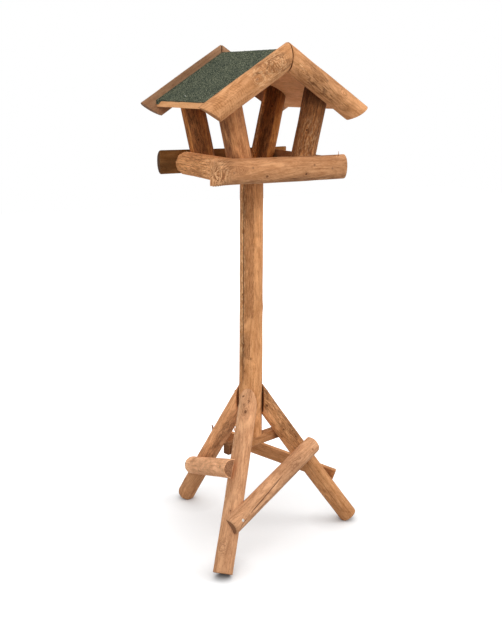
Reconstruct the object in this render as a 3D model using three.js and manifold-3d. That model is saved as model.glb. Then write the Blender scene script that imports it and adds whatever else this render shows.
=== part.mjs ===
// A free-standing rustic bird table: a round post on three splayed legs, a log-edged feeding
// tray, four leaning pillars and a felted gable roof with log bargeboards.
// Lengths are millimetres. X runs along the long tray rails, Y from front to back along the
// ridge and Z up from the ground. The origin is the middle of the footprint box at ground level.

import * as THREE from 'three';
import { mergeVertices } from 'three/addons/utils/BufferGeometryUtils.js';
import Module from 'manifold-3d';

const wasm = await Module();
wasm.setup();

// Clearances and drawing fineness
const joint_gap = 0.3;
const cut_reach = 3000;
const log_facets = 32;
const half_log_facets = 16;
const nail_facets = 10;
const weld_tolerance = 0.0005;
const log_end_chamfer = 1.5;

// Post: a peeled pole, a little thicker at the foot
const post_foot_radius = 29;
const post_top_radius = 27.1;

// Tripod: three square-cut logs whose axes all meet on the post's axis. A leg's spread is how
// far out its axis would reach the ground, and its heel is the depth of the worn flat it
// stands on.
const leg_radius = 23;
const legs_meet_height = 397.3;
const leg_front_spread = 255.5;
const leg_right_spread = 274;
const leg_left_spread = 264;
const leg_heel = 1.9;
const leg_front_turn_deg = 225.8;
const leg_right_turn_deg = 343.5;
const leg_left_turn_deg = 104.4;

// Braces: half logs nailed flat side in, each from low on one leg to high on the next.
// The two height shares are of the height where the legs' axes meet. Radii and overrun past
// the two legs' axes are shares of a leg's radius.
const braces = { left: ['left', 'front'], front: ['front', 'right'], back: ['right', 'left'] };
const brace_height_shares = { left: [0.2844, 0.5386], front: [0.2895, 0.521], back: [0.306, 0.5185] };
const brace_over_shares = { left: [0.26, 1.27], front: [1.14, 1.12], back: [1.27, 0.71] };
const brace_radius_shares = { left: 1, front: 1.01, back: 0.9 };

// Batten under the post's foot, nailed inside the front and right legs
const batten_height = 26;
const batten_depth = 22;
const batten_left_over = 9.2;
const batten_right_over = 25.2;
const batten_edge = 4;
const batten_rise = 48;

// Tray: half-log rails with their flat sides inward, round a board floor
const rail_radius = 27.7;
const rail_axis_height = 930.3;
const rail_front_left_over = 30.7;
const rail_front_right_over = 38;
const rail_back_left_over = 39.5;
const rail_back_right_over = 27;
const rail_back_rise = 2;
const front_rail_end_slope_deg = 20;
const back_rail_end_slope_deg = 8.5;
const tray_inside_x = 112.6;
const tray_inside_y = 118.8;
const floor_thickness = 12;
const floor_rise = 5.2;

// Pillars: round logs that stand on the floor in the tray's corners and lean outward
const pillar_radius = 28;
const pillar_lean_deg = 12.7;

// Roof
const roof_rise = 269.7;
const roof_pitch_deg = 32.5;
const roof_inside_y = 148;
const barge_radius = 26;
const barge_over = 34;
const barge_back_rise = 4;
const barge_end_cut_deg = 30.4;
const felt_drop = 14;
const felt_thickness = 2;
const board_thickness = 11;
const eave_left_span = 172.5;
const eave_right_span = 177;

// Wire nails
const nail_head_radius = 3.6;
const nail_head_thickness = 1.4;
const nail_shank_radius = 1.7;
const nail_point = 4;
const nail_sink = 0.9;
const nail_hole_reach = 30;
const leg_nail_length = 44;
const brace_nail_length = 46;
const batten_nail_length = 40;
const corner_nail_length = 60;
const pillar_nail_length = 55;
const floor_nail_length = 50;
const roof_nail_length = 45;
const barge_nail_length = 54;
const post_nail_length = 60;
const leg_nail_drop = 27.5;
const leg_nail_spread = 4;
const leg_nail_aside = 7.5;
const post_nail_spread = 11;
const pillar_nail_rise = 7.7;
const barge_nail_share = 0.5;

const degrees = Math.PI / 180;
const X = new THREE.Vector3(1, 0, 0);
const Y = new THREE.Vector3(0, 1, 0);
const Z = new THREE.Vector3(0, 0, 1);

// Colours read off the peeled logs, the smooth boards, the felt and the nails
const peeled_log = { color: 0xc08a5a, roughness: 0.8, metalness: 0 };
const pale_log = { color: 0xc99563, roughness: 0.78, metalness: 0 };
const dark_log = { color: 0x9a6338, roughness: 0.85, metalness: 0 };
const smooth_board = { color: 0xcf9c6c, roughness: 0.7, metalness: 0 };
const green_felt = { color: 0x4c5f50, roughness: 0.95, metalness: 0 };
const bright_nail = { color: 0x8d8a84, roughness: 0.45, metalness: 0.8 };

// Solids and meshes
function positionsOnly(geometry) {
  const bare = geometry.clone();
  bare.deleteAttribute('normal');
  bare.deleteAttribute('uv');
  return mergeVertices(bare, weld_tolerance);
}

function signedVolume(positions, triangles) {
  const a = new THREE.Vector3();
  const b = new THREE.Vector3();
  const c = new THREE.Vector3();
  let total = 0;
  for (let i = 0; i < triangles.length; i += 3) {
    a.fromArray(positions, 3 * triangles[i]);
    b.fromArray(positions, 3 * triangles[i + 1]);
    c.fromArray(positions, 3 * triangles[i + 2]);
    total += a.dot(b.cross(c)) / 6;
  }
  return total;
}

function solidOf(geometry) {
  const bare = positionsOnly(geometry);
  const positions = new Float32Array(bare.attributes.position.array);
  const index = bare.index.array;
  const triangles = [];
  for (let i = 0; i < index.length; i += 3) {
    const [a, b, c] = [index[i], index[i + 1], index[i + 2]];
    if (a !== b && b !== c && c !== a) triangles.push(a, b, c);
  }
  if (signedVolume(positions, triangles) < 0) {
    for (let i = 0; i < triangles.length; i += 3) {
      [triangles[i + 1], triangles[i + 2]] = [triangles[i + 2], triangles[i + 1]];
    }
  }
  const mesh = { numProp: 3, vertProperties: positions, triVerts: new Uint32Array(triangles) };
  return new wasm.Manifold(new wasm.Mesh(mesh));
}

function geometryOf(solid) {
  const mesh = solid.getMesh();
  const geometry = new THREE.BufferGeometry();
  geometry.setAttribute('position', new THREE.BufferAttribute(new Float32Array(mesh.vertProperties), 3));
  geometry.setIndex(new THREE.BufferAttribute(new Uint32Array(mesh.triVerts), 1));
  geometry.computeVertexNormals();
  return geometry;
}

// A frame whose Z is the given direction and whose X is as near as it can be to the given side
function frameAt(origin, along, side) {
  const z = along.clone().normalize();
  const y = z.clone().cross(side).normalize();
  const x = y.clone().cross(z).normalize();
  return new THREE.Matrix4().makeBasis(x, y, z).setPosition(origin);
}

// Cuts away everything beyond a plane
function cutBeyond(solid, point, normal) {
  const n = normal.clone().normalize();
  const block = new THREE.BoxGeometry(cut_reach, cut_reach, cut_reach);
  const side = Math.abs(n.z) > Math.abs(n.x) ? X : Z;
  block.applyMatrix4(frameAt(point.clone().addScaledVector(n, cut_reach / 2), n, side));
  return solid.subtract(solidOf(block));
}

// A round log: a turned outline with lightly broken ends, from the origin of its frame up Z
function roundLog(frame, length, foot_radius, head_radius) {
  const outline = [
    new THREE.Vector2(0, 0),
    new THREE.Vector2(foot_radius - log_end_chamfer, 0),
    new THREE.Vector2(foot_radius, log_end_chamfer),
    new THREE.Vector2(head_radius, length - log_end_chamfer),
    new THREE.Vector2(head_radius - log_end_chamfer, length),
    new THREE.Vector2(0, length),
  ];
  const geometry = new THREE.LatheGeometry(outline, log_facets);
  geometry.rotateX(90 * degrees);
  geometry.applyMatrix4(frame);
  return solidOf(geometry);
}

// A half log: flat side in the frame's YZ plane, round side towards +X
function halfLog(frame, length, radius) {
  const section = new THREE.Shape();
  section.moveTo(0, -radius);
  section.absarc(0, 0, radius, -90 * degrees, 90 * degrees, false);
  section.closePath();
  const options = { depth: length, bevelEnabled: false, curveSegments: half_log_facets };
  const geometry = new THREE.ExtrudeGeometry(section, options);
  geometry.applyMatrix4(frame);
  return solidOf(geometry);
}

// A straight piece with any flat outline, drawn in the frame's XY and pushed up Z
function prism(frame, length, corners) {
  const section = new THREE.Shape(corners.map(([x, y]) => new THREE.Vector2(x, y)));
  const geometry = new THREE.ExtrudeGeometry(section, { depth: length, bevelEnabled: false });
  geometry.applyMatrix4(frame);
  return solidOf(geometry);
}

function turned(outline, frame) {
  const geometry = new THREE.LatheGeometry(outline, nail_facets);
  geometry.rotateX(90 * degrees);
  geometry.applyMatrix4(frame);
  return solidOf(geometry);
}

const solids = {};
const looks = {};

function keep(name, solid, look) {
  solids[name] = solid;
  looks[name] = look;
}

// A nail is driven from the outer face of its head, and every piece that it passes is bored
// for it with the joint gap all round, so that no two solids touch.
function driveNail(name, head, direction, length, pieces) {
  const side = Math.abs(direction.z) > Math.abs(direction.x) ? X : Z;
  const frame = frameAt(head, direction, side);
  const nail = [
    new THREE.Vector2(0, 0),
    new THREE.Vector2(nail_head_radius, 0),
    new THREE.Vector2(nail_head_radius, nail_head_thickness),
    new THREE.Vector2(nail_shank_radius, nail_head_thickness),
    new THREE.Vector2(nail_shank_radius, length - nail_point),
    new THREE.Vector2(0, length),
  ];
  const bore = [
    new THREE.Vector2(0, -nail_hole_reach),
    new THREE.Vector2(nail_head_radius + joint_gap, -nail_hole_reach),
    new THREE.Vector2(nail_head_radius + joint_gap, nail_head_thickness + joint_gap),
    new THREE.Vector2(nail_shank_radius + joint_gap, nail_head_thickness + joint_gap),
    new THREE.Vector2(nail_shank_radius + joint_gap, length + joint_gap),
    new THREE.Vector2(0, length + joint_gap),
  ];
  const hole = turned(bore, frame);
  for (const piece of pieces) solids[piece] = solids[piece].subtract(hole);
  keep(name, turned(nail, frame), bright_nail);
}

// Legs
const leg_turns_deg = { front: leg_front_turn_deg, right: leg_right_turn_deg, left: leg_left_turn_deg };
const leg_spreads = { front: leg_front_spread, right: leg_right_spread, left: leg_left_spread };

function outward(name) {
  const turn = leg_turns_deg[name] * degrees;
  return new THREE.Vector3(Math.cos(turn), Math.sin(turn), 0);
}

function legTilt(name) {
  return Math.atan(leg_spreads[name] / legs_meet_height);
}

function legPoint(name, height) {
  return outward(name).multiplyScalar(leg_spreads[name] * (1 - height / legs_meet_height)).setZ(height);
}

const batten_top_height = brace_height_shares.left[1] * legs_meet_height + batten_rise;

for (const name of Object.keys(leg_spreads)) {
  const foot = legPoint(name, leg_radius * Math.sin(legTilt(name)) - leg_heel);
  const along = legPoint(name, legs_meet_height).sub(foot);
  const length = along.length() + 2 * leg_radius;
  let leg = roundLog(frameAt(foot, along, outward(name)), length, leg_radius, leg_radius);
  const seat = outward(name).multiplyScalar(post_foot_radius + joint_gap);
  leg = cutBeyond(leg, seat, outward(name).negate());
  leg = cutBeyond(leg, new THREE.Vector3(0, 0, 0), Z.clone().negate());
  keep(`leg_${name}`, leg, peeled_log);
}

// Tray floor and post: the post carries the floor
const floor_bottom = rail_axis_height - rail_radius + floor_rise;
const floor_top = floor_bottom + floor_thickness;
const post_foot_height = batten_top_height + joint_gap;
const post_length = floor_bottom - joint_gap - post_foot_height;
const post_frame = frameAt(new THREE.Vector3(0, 0, post_foot_height), Z, X);
keep('post', roundLog(post_frame, post_length, post_foot_radius, post_top_radius), peeled_log);

const floor_block = new THREE.BoxGeometry(
  2 * (tray_inside_x - joint_gap),
  2 * (tray_inside_y - joint_gap),
  floor_thickness,
);
floor_block.translate(0, 0, floor_bottom + floor_thickness / 2);
keep('tray_floor', solidOf(floor_block), smooth_board);

// Leg nails go level through the bevelled tops into the post
for (const name of Object.keys(leg_spreads)) {
  const out = outward(name);
  const aside = Z.clone().cross(out);
  for (const [place, hand] of Object.entries({ upper: 1, lower: -1 })) {
    const height = legs_meet_height - leg_nail_drop + hand * leg_nail_spread;
    const surface = Math.sqrt(leg_radius ** 2 - leg_nail_aside ** 2) / Math.cos(legTilt(name));
    const head = legPoint(name, height).addScaledVector(out, surface - nail_sink);
    head.addScaledVector(aside, -hand * leg_nail_aside);
    const pieces = [`leg_${name}`, 'post'];
    driveNail(`nail_leg_${name}_${place}`, head, out.clone().negate(), leg_nail_length, pieces);
  }
}

// Braces lie in the plane that touches two legs on their outer side
for (const [name, [low_leg, high_leg]] of Object.entries(braces)) {
  const [low_height, high_height] = brace_height_shares[name].map((share) => share * legs_meet_height);
  const [low_over, high_over] = brace_over_shares[name].map((share) => share * leg_radius);
  const radius = brace_radius_shares[name] * leg_radius;
  const low = legPoint(low_leg, low_height);
  const high = legPoint(high_leg, high_height);
  const top = new THREE.Vector3(0, 0, legs_meet_height);
  const face = low.clone().sub(top).cross(high.clone().sub(top)).normalize();
  if (face.dot(low) < 0) face.negate();
  const along = high.clone().sub(low).normalize();
  const start = low.clone().addScaledVector(face, leg_radius + joint_gap);
  start.addScaledVector(along, -low_over);
  const length = high.distanceTo(low) + low_over + high_over;
  keep(`brace_${name}`, halfLog(frameAt(start, along, face), length, radius), pale_log);
  for (const [end, point, leg] of [['low', low, low_leg], ['high', high, high_leg]]) {
    const head = point.clone().addScaledVector(face, leg_radius + joint_gap + radius - nail_sink);
    const pieces = [`brace_${name}`, `leg_${leg}`];
    driveNail(`nail_brace_${name}_${end}`, head, face.clone().negate(), brace_nail_length, pieces);
  }
}

// Batten: it runs parallel to the line from leg to leg, and its front face meets the two
// legs' inner sides along its upper edge
const batten_legs = ['front', 'right'];
const [front_at_batten, right_at_batten] = batten_legs.map((name) => legPoint(name, batten_top_height));
const batten_along = right_at_batten.clone().sub(front_at_batten).normalize();
const batten_out = batten_along.clone().cross(Z);

function legInnerFace(name) {
  const facing = batten_out.dot(outward(name));
  const across = leg_radius * Math.sqrt(1 - facing ** 2);
  const half_width = Math.hypot((leg_radius / Math.cos(legTilt(name))) * facing, across);
  return legPoint(name, batten_top_height).dot(batten_out) - half_width;
}

const batten_front = Math.min(...batten_legs.map(legInnerFace)) - joint_gap;
const batten_bottom = batten_top_height - batten_height;
const batten_middle = batten_bottom + batten_height / 2;
const batten_left = batten_left_over - legPoint('front', batten_middle).dot(batten_along);
const batten_right = batten_right_over + legPoint('right', batten_middle).dot(batten_along);
const batten_back = batten_front - batten_depth;
const batten_section = [
  [batten_back, batten_bottom],
  [batten_front - batten_edge, batten_bottom],
  [batten_front, batten_bottom + batten_edge],
  [batten_front, batten_top_height],
  [batten_back, batten_top_height],
];
const batten_frame = new THREE.Matrix4().makeBasis(batten_out, Z, batten_along.clone().negate());
batten_frame.setPosition(batten_along.clone().multiplyScalar(batten_right));
keep('batten', prism(batten_frame, batten_left + batten_right, batten_section), pale_log);
for (const name of batten_legs) {
  const point = legPoint(name, batten_middle);
  const head = point.clone().addScaledVector(batten_out, -point.dot(batten_out) + batten_back + nail_sink);
  driveNail(`nail_batten_${name}`, head, batten_out, batten_nail_length, ['batten', `leg_${name}`]);
}

// Long rails front and back, their ends sawn a little back on the outer side
const rail_overs = {
  front: { left: rail_front_left_over, right: rail_front_right_over },
  back: { left: rail_back_left_over, right: rail_back_right_over },
};
const rail_rises = { front: 0, back: rail_back_rise };
const rail_end_slopes_deg = { front: front_rail_end_slope_deg, back: back_rail_end_slope_deg };
for (const [name, out] of [['front', Y.clone().negate()], ['back', Y.clone()]]) {
  const end_slope = rail_end_slopes_deg[name] * degrees;
  const reach = Object.values(rail_overs[name]).map((over) => tray_inside_x + rail_radius + over);
  const start = out.clone().multiplyScalar(tray_inside_y);
  start.x = -reach[0];
  start.z = rail_axis_height + rail_rises[name];
  let rail = halfLog(frameAt(start, X, out), reach[0] + reach[1], rail_radius);
  for (const [end, hand] of [[0, -1], [1, 1]]) {
    const corner = new THREE.Vector3(hand * reach[end], out.y * tray_inside_y, 0);
    const normal = X.clone().multiplyScalar(hand * Math.cos(end_slope));
    normal.addScaledVector(out, Math.sin(end_slope));
    rail = cutBeyond(rail, corner, normal);
  }
  keep(`rail_${name}`, rail, peeled_log);
}

// Short rails between them
for (const [name, out] of [['left', X.clone().negate()], ['right', X.clone()]]) {
  const short_half_length = tray_inside_y - joint_gap;
  const start = out.clone().multiplyScalar(tray_inside_x);
  start.y = -short_half_length;
  start.z = rail_axis_height;
  keep(`rail_${name}`, halfLog(frameAt(start, Y, out), 2 * short_half_length, rail_radius), peeled_log);
}

// Roof planes: heights at the ridge of the board's two faces and of the felt, all at the pitch
const pitch = roof_pitch_deg * degrees;
const slope = Math.tan(pitch);
const roof_apex_height = rail_axis_height + roof_rise;
const felt_top = roof_apex_height - felt_drop;
const felt_bottom = felt_top - felt_thickness / Math.cos(pitch);
const board_top = felt_bottom - joint_gap / Math.cos(pitch);
const board_bottom = board_top - board_thickness / Math.cos(pitch);
const pillar_cut = board_bottom - joint_gap / Math.cos(pitch);

// Pillars: the foot stands flat on the floor, the head is cut to the underside of the roof
const rail_top = rail_axis_height + rail_radius;
const lean = pillar_lean_deg * degrees;
const pillar_y = tray_inside_y - joint_gap - pillar_radius;
const pillar_x_at_rail = tray_inside_x - joint_gap - pillar_radius / Math.cos(lean);
const pillar_foot = floor_top + joint_gap;

function pillarX(height) {
  return pillar_x_at_rail + (height - rail_top) * Math.tan(lean);
}

const sides = { left: -1, right: 1 };
const ends = { front: -1, back: 1 };

for (const [end, towards] of Object.entries(ends)) {
  for (const [side, hand] of Object.entries(sides)) {
    const low = pillar_foot - 2 * pillar_radius;
    const start = new THREE.Vector3(hand * pillarX(low), towards * pillar_y, low);
    const along = new THREE.Vector3(hand * Math.sin(lean), 0, Math.cos(lean));
    const reach = board_top - pillar_foot + 2 * pillar_radius;
    let pillar = roundLog(frameAt(start, along, X), reach, pillar_radius, pillar_radius);
    pillar = cutBeyond(pillar, new THREE.Vector3(0, 0, pillar_foot), Z.clone().negate());
    const above = new THREE.Vector3(hand * Math.sin(pitch), 0, Math.cos(pitch));
    pillar = cutBeyond(pillar, new THREE.Vector3(0, 0, pillar_cut), above);
    keep(`pillar_${end}_${side}`, pillar, dark_log);
  }
}

// Roof boards: mitred at the ridge, sawn plumb at the eaves
const eave_spans = { left: eave_left_span, right: eave_right_span };
const board_half_length = roof_inside_y - joint_gap;
const board_outline_frame = frameAt(new THREE.Vector3(0, -board_half_length, 0), Y, X);
for (const [side, hand] of Object.entries(sides)) {
  const span = eave_spans[side];
  const corners = [
    [joint_gap / 2, board_bottom - (joint_gap / 2) * slope],
    [span, board_bottom - span * slope],
    [span, board_top - span * slope],
    [joint_gap / 2, board_top - (joint_gap / 2) * slope],
  ].map(([x, z]) => [hand * x, -z]);
  keep(`roof_board_${side}`, prism(board_outline_frame, 2 * board_half_length, corners), smooth_board);
}

// Felt: one sheet folded over the ridge
const felt_corners = [
  [-eave_left_span, felt_top - eave_left_span * slope],
  [0, felt_top],
  [eave_right_span, felt_top - eave_right_span * slope],
  [eave_right_span, felt_bottom - eave_right_span * slope],
  [0, felt_bottom],
  [-eave_left_span, felt_bottom - eave_left_span * slope],
].map(([x, z]) => [x, -z]);
keep('roof_felt', prism(board_outline_frame, 2 * board_half_length, felt_corners), green_felt);

// Bargeboards: half logs, flat side to the board ends, cut plumb where they meet at the apex
const barge_span = eave_right_span + barge_over;
const barge_drop = barge_radius / Math.cos(pitch);
const barge_length = barge_span / Math.cos(pitch) + 2 * barge_radius;
const barge_tops = { front: roof_apex_height, back: roof_apex_height + barge_back_rise };
for (const [end, towards] of Object.entries(ends)) {
  for (const [side, hand] of Object.entries(sides)) {
    const down = new THREE.Vector3(hand * Math.cos(pitch), 0, -Math.sin(pitch));
    const start = new THREE.Vector3(0, towards * roof_inside_y, barge_tops[end] - barge_drop);
    start.addScaledVector(down, -2 * barge_radius);
    const out = Y.clone().multiplyScalar(towards);
    let barge = halfLog(frameAt(start, down, out), barge_length + 2 * barge_radius, barge_radius);
    const ridge_cut = new THREE.Vector3((hand * joint_gap) / 2, 0, 0);
    barge = cutBeyond(barge, ridge_cut, X.clone().multiplyScalar(-hand));
    const corner = new THREE.Vector3(hand * barge_span, 0, barge_tops[end] - barge_span * slope);
    const turn = barge_end_cut_deg * degrees;
    barge = cutBeyond(barge, corner, new THREE.Vector3(hand * Math.sin(turn), 0, -Math.cos(turn)));
    keep(`barge_${end}_${side}`, barge, pale_log);
  }
}

// Nails of the tray: corners, pillars, floor edges and the post
for (const [end, towards] of Object.entries(ends)) {
  const inward = Y.clone().multiplyScalar(-towards);
  const rise = rail_rises[end];
  for (const [side, hand] of Object.entries(sides)) {
    const corner_x = tray_inside_x + rail_radius / 2;
    const corner_y = tray_inside_y + Math.sqrt(rail_radius ** 2 - rise ** 2) - nail_sink;
    const corner = new THREE.Vector3(hand * corner_x, towards * corner_y, rail_axis_height);
    const rails = [`rail_${end}`, `rail_${side}`];
    driveNail(`nail_corner_${end}_${side}`, corner, inward, corner_nail_length, rails);
    const nail_height = rail_axis_height + pillar_nail_rise;
    const off_axis = pillar_nail_rise - rise;
    const face_y = tray_inside_y + Math.sqrt(rail_radius ** 2 - off_axis ** 2) - nail_sink;
    const point = new THREE.Vector3(hand * pillarX(nail_height), towards * face_y, nail_height);
    const pieces = [`rail_${end}`, `pillar_${end}_${side}`];
    driveNail(`nail_pillar_${end}_${side}`, point, inward, pillar_nail_length, pieces);
  }
}
for (const [side, hand] of Object.entries(sides)) {
  const height = floor_bottom + floor_thickness / 2;
  const face_x = tray_inside_x + Math.sqrt(rail_radius ** 2 - (height - rail_axis_height) ** 2) - nail_sink;
  const head = new THREE.Vector3(hand * face_x, 0, height);
  const inward = X.clone().multiplyScalar(-hand);
  driveNail(`nail_floor_${side}`, head, inward, floor_nail_length, [`rail_${side}`, 'tray_floor']);
  const over_post = new THREE.Vector3(hand * post_nail_spread, 0, floor_top);
  driveNail(`nail_post_${side}`, over_post, Z.clone().negate(), post_nail_length, ['tray_floor', 'post']);
}

// Nails of the roof: boards to pillars under the felt, bargeboards to the board ends
for (const [end, towards] of Object.entries(ends)) {
  for (const [side, hand] of Object.entries(sides)) {
    const above = new THREE.Vector3(hand * Math.sin(pitch), 0, Math.cos(pitch));
    const x = (pillar_x_at_rail + (board_top - rail_top) * Math.tan(lean)) / (1 + slope * Math.tan(lean));
    const head = new THREE.Vector3(hand * x, towards * pillar_y, board_top - x * slope);
    const pieces = [`roof_board_${side}`, `pillar_${end}_${side}`];
    driveNail(`nail_roof_${end}_${side}`, head, above.clone().negate(), roof_nail_length, pieces);

    const board_mid = board_bottom + (board_top - board_bottom) / 2;
    const lift = (board_mid - barge_tops[end] + barge_drop) * Math.cos(pitch);
    const face_y = roof_inside_y + Math.sqrt(barge_radius ** 2 - lift ** 2) - nail_sink;
    const at = barge_nail_share * eave_spans[side];
    const point = new THREE.Vector3(hand * at, towards * face_y, board_mid - at * slope);
    const both = [`barge_${end}_${side}`, `roof_board_${side}`];
    const inward = Y.clone().multiplyScalar(-towards);
    driveNail(`nail_barge_${end}_${side}`, point, inward, barge_nail_length, both);
  }
}

// Scene: the whole table is moved so that its footprint box is centred on the origin
const table = new THREE.Group();
for (const [name, solid] of Object.entries(solids)) {
  const material = new THREE.MeshStandardMaterial(looks[name]);
  const mesh = new THREE.Mesh(geometryOf(solid), material);
  mesh.name = name;
  table.add(mesh);
}
const box = new THREE.Box3().setFromObject(table, true);
table.position.set(-(box.min.x + box.max.x) / 2, -(box.min.y + box.max.y) / 2, -box.min.z);
table.updateMatrixWorld(true);

export default table;
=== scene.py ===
# %% [markdown]
# # A rustic bird table
# The real table is knocked together from peeled poles. One round post stands on three splayed
# legs, half-round braces are nailed across the legs, a tray edged with half-round rails sits
# on the post, and four short logs carry a small felted roof with half-round bargeboards.
# This lesson loads the plain solids of that table and dresses every one of them: wood with
# fibres, knots, cracks and left-over bark, sawn ends with growth rings, felt with its mineral
# grit, and wire nails. All lengths are in metres, in the frame of the solids.

# %% Load the plain solids
import math

import bpy
import numpy as np
from mathutils import Euler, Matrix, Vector, noise
from mathutils.bvhtree import BVHTree


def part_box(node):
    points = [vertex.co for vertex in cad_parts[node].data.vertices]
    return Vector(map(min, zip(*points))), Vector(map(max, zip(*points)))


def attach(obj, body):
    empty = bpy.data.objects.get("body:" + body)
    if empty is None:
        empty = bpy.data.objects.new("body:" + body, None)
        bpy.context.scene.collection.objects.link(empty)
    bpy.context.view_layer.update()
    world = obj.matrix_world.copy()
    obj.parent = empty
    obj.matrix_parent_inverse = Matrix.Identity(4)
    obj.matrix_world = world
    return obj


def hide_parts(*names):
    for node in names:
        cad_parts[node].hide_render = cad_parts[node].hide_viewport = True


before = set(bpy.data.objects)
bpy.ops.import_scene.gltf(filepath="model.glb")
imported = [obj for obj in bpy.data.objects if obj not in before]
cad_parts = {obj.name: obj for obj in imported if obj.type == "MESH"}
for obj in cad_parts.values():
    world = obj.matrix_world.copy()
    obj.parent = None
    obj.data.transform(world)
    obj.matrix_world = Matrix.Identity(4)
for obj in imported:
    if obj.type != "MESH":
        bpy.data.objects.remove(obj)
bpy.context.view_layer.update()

MM = 0.001
post_low, post_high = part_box("post")
post_axis = np.array([(post_low.x + post_high.x) / 2, (post_low.y + post_high.y) / 2, 0.0])

# %% [markdown]
# ## The camera
# A photograph of a product is usually taken from standing height with a short telephoto
# lens. The post's axis is a good thing to aim around: the camera is placed at a distance and
# a heading from it, and tipped down so that the roof and the feet both fit in the frame.

# %% Camera
view_heading = math.radians(29.6)
view_distance = 2.117
view_height = 1.111
view_pitch = math.radians(14.7)
view_roll = math.radians(0.3)
lens_mm = 50.47

forward = Vector((math.sin(view_heading) * math.cos(view_pitch),
                  math.cos(view_heading) * math.cos(view_pitch),
                  -math.sin(view_pitch)))
camera_data = bpy.data.cameras.new("camera")
camera_data.lens = lens_mm
camera_data.sensor_width = 36.0
camera_data.clip_end = 50.0
camera = bpy.data.objects.new("camera", camera_data)
camera.location = Vector(post_axis) + Vector((-math.sin(view_heading) * view_distance,
                                              -math.cos(view_heading) * view_distance,
                                              view_height))
aim = forward.to_track_quat("-Z", "Y")
camera.rotation_euler = (aim @ Euler((0, 0, view_roll)).to_quaternion()).to_euler()
bpy.context.scene.collection.objects.link(camera)
bpy.context.scene.camera = camera
bpy.context.scene.view_settings.view_transform = "Standard"
print("camera at", [round(v, 3) for v in camera.location])

# %% [markdown]
# ## Small helpers for node trees
# Materials and Geometry Nodes are both trees of nodes. One helper adds a node, fills in its
# settings and either links or sets its inputs. A `Wire` is one output of a node: arithmetic
# with it adds Math nodes, so that a tree reads almost like a sum on paper.

# %% Helpers for node trees
def add(tree, kind, inputs=None, **settings):
    made = tree.nodes.new(kind)
    for name, value in settings.items():
        setattr(made, name, value)
    for key, value in (inputs or {}).items():
        value = getattr(value, "socket", value)
        if isinstance(value, bpy.types.NodeSocket):
            tree.links.new(value, made.inputs[key])
        else:
            made.inputs[key].default_value = value
    return made


class Wire:
    def __init__(self, tree, socket):
        self.tree = tree
        self.socket = socket

    def do(self, operation, *others):
        made = add(self.tree, "ShaderNodeMath", dict(enumerate((self, *others))),
                   operation=operation)
        return Wire(self.tree, made.outputs[0])

    def __add__(self, other):
        return self.do("ADD", other)

    def __sub__(self, other):
        return self.do("SUBTRACT", other)

    def __mul__(self, other):
        return self.do("MULTIPLY", other)

    def __truediv__(self, other):
        return self.do("DIVIDE", other)

    def __abs__(self):
        return self.do("ABSOLUTE")

    def most(self, other):
        return self.do("MAXIMUM", other)

    def remap(self, low, high, to_low=0.0, to_high=1.0, kind="SMOOTHSTEP"):
        made = add(self.tree, "ShaderNodeMapRange",
                   {0: self, 1: low, 2: high, 3: to_low, 4: to_high}, interpolation_type=kind)
        return Wire(self.tree, made.outputs[0])

    def parts(self):
        made = add(self.tree, "ShaderNodeSeparateXYZ", {0: self})
        return [Wire(self.tree, socket) for socket in made.outputs]


def read(tree, name, kind="Fac"):
    return Wire(tree, add(tree, "ShaderNodeAttribute", attribute_name=name).outputs[kind])


def cloud(tree, place, scale, detail, rough=0.5):
    made = add(tree, "ShaderNodeTexNoise", {"Vector": place, "Scale": scale, "Detail": detail,
                                            "Roughness": rough})
    return Wire(tree, made.outputs[0])


def blend(tree, share, *colours):
    first, second = ((*c, 1.0) if isinstance(c, tuple) else c for c in colours)
    return add(tree, "ShaderNodeMix", {0: share, 6: first, 7: second},
               data_type="RGBA").outputs[2]


def new_material(name):
    made = bpy.data.materials.new(name)
    made.use_nodes = True
    made.node_tree.nodes.clear()
    return made, made.node_tree


def finish_material(tree, colour, roughness, height, depth, **sockets):
    bump = add(tree, "ShaderNodeBump", {"Height": height, "Distance": depth})
    given = {name.replace("_", " "): value for name, value in sockets.items()}
    shader = add(tree, "ShaderNodeBsdfPrincipled",
                 {"Base Color": colour, "Roughness": roughness, "Normal": bump.outputs[0], **given})
    add(tree, "ShaderNodeOutputMaterial", {"Surface": shader.outputs[0]})


def show(made):
    bpy.context.scene.collection.objects.link(made)
    return made


# %% [markdown]
# ## Floor, background and light
# The table is shown on a white sweep under large soft lamps. The floor is a plain pale
# plane. Seen by the camera it gets a little light of its own, so that it reads as white and
# still takes the table's shadow. That glow is weaker close to the table, as painted shade,
# and an ambient-occlusion node fades it out close under a foot, as a painted contact shadow.
# The world is white to the camera and soft grey as light.

# %% Floor, world and lamps
floor_grey = 0.58
floor_lift_near = 0.42
floor_lift_far = 1.0
floor_half = 6.0
sky_light = 0.50
white = (1.0, 1.0, 1.0, 1.0)


def seen_rays(tree):
    rays = add(tree, "ShaderNodeLightPath").outputs
    camera_ray, glossy, clear = (Wire(tree, rays[f"Is {kind} Ray"])
                                 for kind in ("Camera", "Glossy", "Transmission"))
    return camera_ray.most(glossy.most(clear))


floor_material, tree = new_material("pale_floor")
seen = seen_rays(tree)
matt = add(tree, "ShaderNodeBsdfDiffuse", {"Color": (floor_grey, floor_grey, floor_grey, 1.0)})
from_table = add(tree, "ShaderNodeVectorMath",
                 {0: add(tree, "ShaderNodeTexCoord").outputs["Object"]}, operation="LENGTH")
# Painted shade: less glow near the table, and none where the table is close above the floor.
lift = Wire(tree, from_table.outputs["Value"]).remap(0.10, 0.80, floor_lift_near, floor_lift_far)
contact_shadow_ao = add(tree, "ShaderNodeAmbientOcclusion", {"Distance": 0.075}, samples=12)
lift = lift * Wire(tree, contact_shadow_ao.outputs["AO"]).remap(0.25, 1.0, kind="LINEAR")
glow = add(tree, "ShaderNodeEmission", {"Color": white, "Strength": seen * lift})
both = add(tree, "ShaderNodeAddShader", {0: matt.outputs[0], 1: glow.outputs[0]})
add(tree, "ShaderNodeOutputMaterial", {"Surface": both.outputs[0]})

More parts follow.
